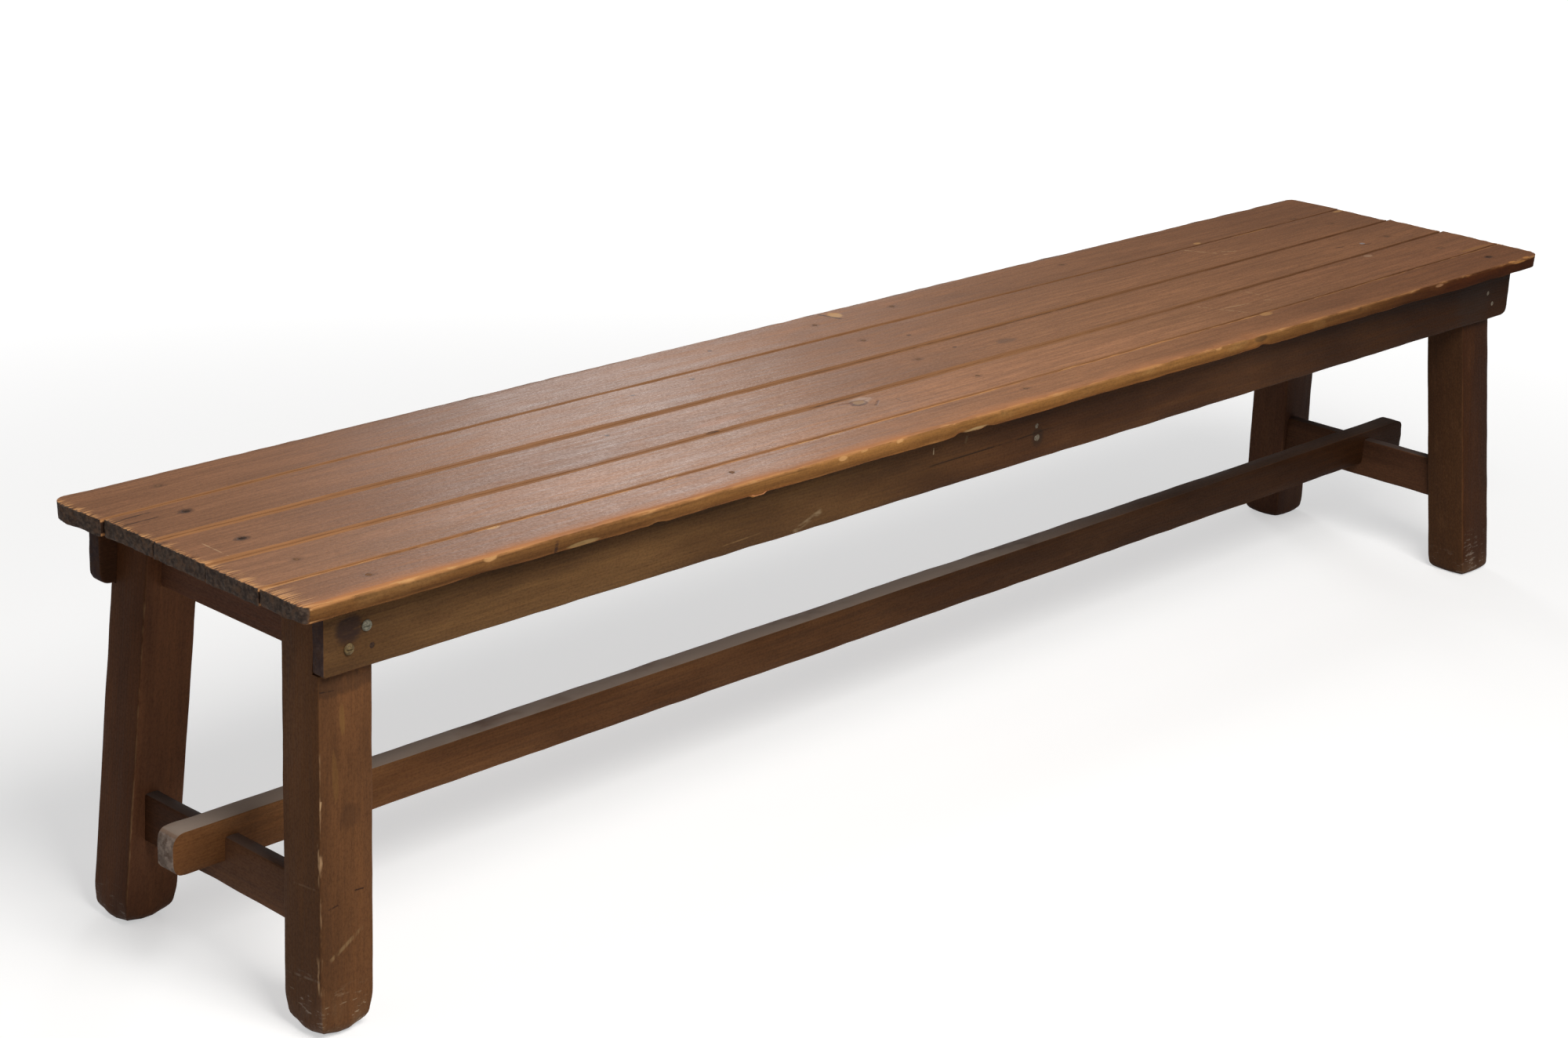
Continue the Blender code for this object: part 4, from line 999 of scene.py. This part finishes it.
# low bars: the one across the legs at either end, and the long one over both
dusty = dict(pithDown=0.04, dust=0.6, dustTone=(84, 76, 72))
stretchers = {
    "left_cross_stretcher": dict(along=1, span=(-0.134, 0.129), seed=16, cuts=30, look=dict(
        # darker towards the back: partly the stain's own tone, partly painted shade
        dusty, dark=(98, 66, 46), light=(119, 81, 55), toneShadeFades=[(-0.01, 0.05, 1, (170, 158, 152))])),
    "right_cross_stretcher": dict(along=1, span=(-0.134, 0.125), seed=17, cuts=30, look=dusty),
    "long_stretcher": dict(along=0, seed=18, cuts=99, tips=(0.015, 0.005, 0.011), look=dict(
        pithAcross=0.03, pithDown=0.04, dust=0.9, dustTone=(152, 138, 126), dustFade=(0.05, 0.55, 1, 0.1),
        dark=(124, 81, 47), light=(150, 102, 62), endDark=(114, 99, 89), endLight=(156, 139, 127),
        # darker step by step towards the right end: partly the stain's own tone, partly painted shade
        toneShadeFades=[(-1, -0.6, 1, (206, 206, 210)), (-0.55, 0.45, 1, (173, 170, 172)),
               (0.5, 0.95, 1, (231, 221, 215))])),
}

for node, values in stretchers.items():
    low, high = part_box(node)
    low.y, high.y = values.get("span", (low.y, high.y))
    wornBar(node + "_bar", node, low, high, values["along"], dict(values, arris=0.003))


# rails that stay as they are, nails and screws

for node in ("left_end_rail", "right_end_rail", "middle_rail"):
    low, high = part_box(node)
    look = dict(frameLook, seed=20 + low.x, dark=(94, 60, 44), light=(114, 75, 55))
    dress(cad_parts[node], paintTimber(node + " stain", barShape(low, high, 1), look))


def paintMetal(name, look):
    metal = Finish(name)
    cloudy = metal.noise(metal.spot, look["scale"], 4, 0.6)
    specks = metal.noise(metal.spot, look["scale"] * 3.1, 2, 0.7)
    metal.feed("Base Color", metal.layered(
        look["dark"], (metal.ramp(cloudy, 0.35, 0.65), look["light"]),
        (metal.ramp(specks, 0.55, 0.7) * look["rustShare"], look["rust"])))
    metal.feed("Metallic", look["metal"] - metal.ramp(specks, 0.5, 0.7) * 0.5)
    metal.feed("Roughness", cloudy * 0.3 + look["rough"])
    metal.feed("Specular IOR Level", look["gloss"])
    metal.feed("Normal", metal.node("ShaderNodeBump", {}, {
        "Strength": 0.4, "Distance": 0.0003, "Height": cloudy + specks}))
    return metal.material


metalLook = dict(scale=420, rustShare=0.5, rough=0.7, gloss=0.15)
metals = {
    "dark nail": dict(dark=(44, 32, 26), light=(70, 52, 40), rust=(84, 52, 34), rustShare=0.7, metal=0.1),
    "painted nail": dict(dark=(98, 72, 54), light=(134, 98, 72), rust=(96, 64, 42), metal=0),
    "rubbed nail": dict(dark=(92, 82, 70), light=(138, 128, 112), rust=(88, 62, 44), metal=0.15,
                        rough=0.6, gloss=0.2),
    "screw_1": dict(scale=380, dark=(96, 94, 82), light=(142, 138, 120), rust=(96, 78, 54), rustShare=0.4,
                    metal=0.35, rough=0.5, gloss=0.4),
    "screw_2": dict(scale=380, dark=(84, 68, 44), light=(126, 106, 70), rust=(70, 50, 34), metal=0.3,
                    rough=0.5, gloss=0.3),
}
finishes = {kind: paintMetal(kind + " old steel", dict(metalLook, **look)) for kind, look in metals.items()}
for node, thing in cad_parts.items():
    if "nail" in node or "screw" in node:
        kind = "screw_1" if node.endswith("1") else "screw_2"
        if "nail" in node:
            kind = "painted nail" if node.startswith("seat") else "rubbed nail"
        if node in darkNails:
            kind = "dark nail"
        dress(thing, finishes[kind])
print("fasteners finished")


# floor, lamps and camera

studio = {
    "floor": (206, 206, 206), "nearGlow": 0.50, "farGlow": 1.05, "glossGlow": 0.35, "worldLevel": 0.20,
    "lamps": [  # name, place, aim, size, power, colour
        ("key", (-0.9, -2.2, 3), (0, 0, 0.35), (1.8, 1.8), 118, (1, 0.98, 0.95)),
        ("window", (2.2, 2.8, 1.75), (-0.45, 0, 0.46), (0.9, 0.7), 17.5, (0.93, 0.94, 0.96)),
        ("fill", (-3.4, 1.2, 3), (0, 0, 0.3), (3, 3), 8, (1, 1, 1)),
    ],
}

bpy.ops.mesh.primitive_plane_add(size=40)
floor = bpy.context.object
floor.name = "floor"
paper = Finish("pale floor")
path = paper.tree.nodes.new("ShaderNodeLightPath")
seen, mirrored = [Socket(paper, path.outputs[name]) for name in ("Is Camera Ray", "Is Glossy Ray")]
away = paper.node("ShaderNodeVectorMath", {"operation": "LENGTH"}, {0: paper.spot}, output=1)
glow = paper.ramp(away, 1, 4, studio["nearGlow"], studio["farGlow"])
paper.feed("Base Color", linear(studio["floor"]))
paper.feed("Roughness", 0.9)
paper.feed("Emission Color", seen * glow + mirrored * studio["glossGlow"])
paper.feed("Emission Strength", 1)
dress(floor, paper.material)

world = scene.world or bpy.data.worlds.new("studio")
scene.world = world
world.use_nodes = True
sky = world.node_tree
sky.nodes["Background"].inputs["Color"].default_value = (1, 1, 1, 1)
# white to the camera, dim as a light
ray, level = [sky.nodes.new("ShaderNode" + kind) for kind in ("LightPath", "Math")]
level.operation = "MAXIMUM"
level.inputs[1].default_value = studio["worldLevel"]
sky.links.new(ray.outputs["Is Camera Ray"], level.inputs[0])
sky.links.new(level.outputs[0], sky.nodes["Background"].inputs["Strength"])

for name, at, aim, size, power, colour in studio["lamps"]:
    lamp = bpy.data.lights.new(name, "AREA")
    lamp.shape = "RECTANGLE"
    lamp.size, lamp.size_y = size
    lamp.energy = power
    lamp.color = colour
    holder = bpy.data.objects.new(name, lamp)
    scene.collection.objects.link(holder)
    holder.location = at
    holder.rotation_euler = (Vector(aim) - Vector(at)).to_track_quat("-Z", "Y").to_euler()

shot = dict(at=(-2.7206, -2.352, 1.5061), turn=(-46.8278, 19.2718, 2.479), lens=71.51, sensor=36)
azimuth, elevation, roll = [math.radians(angle) for angle in shot["turn"]]
lens = bpy.data.cameras.new("camera")
lens.lens = shot["lens"]
lens.sensor_width = shot["sensor"]
lens.sensor_fit = "HORIZONTAL"
lens.clip_end = 100
camera = bpy.data.objects.new("camera", lens)
scene.collection.objects.link(camera)
turned = Euler((math.pi / 2 - elevation, 0, azimuth)).to_matrix().to_4x4() @ Matrix.Rotation(roll, 4, "Z")
camera.matrix_world = Matrix.Translation(shot["at"]) @ turned
scene.camera = camera
scene.view_settings.view_transform = "Standard"
print("studio set")
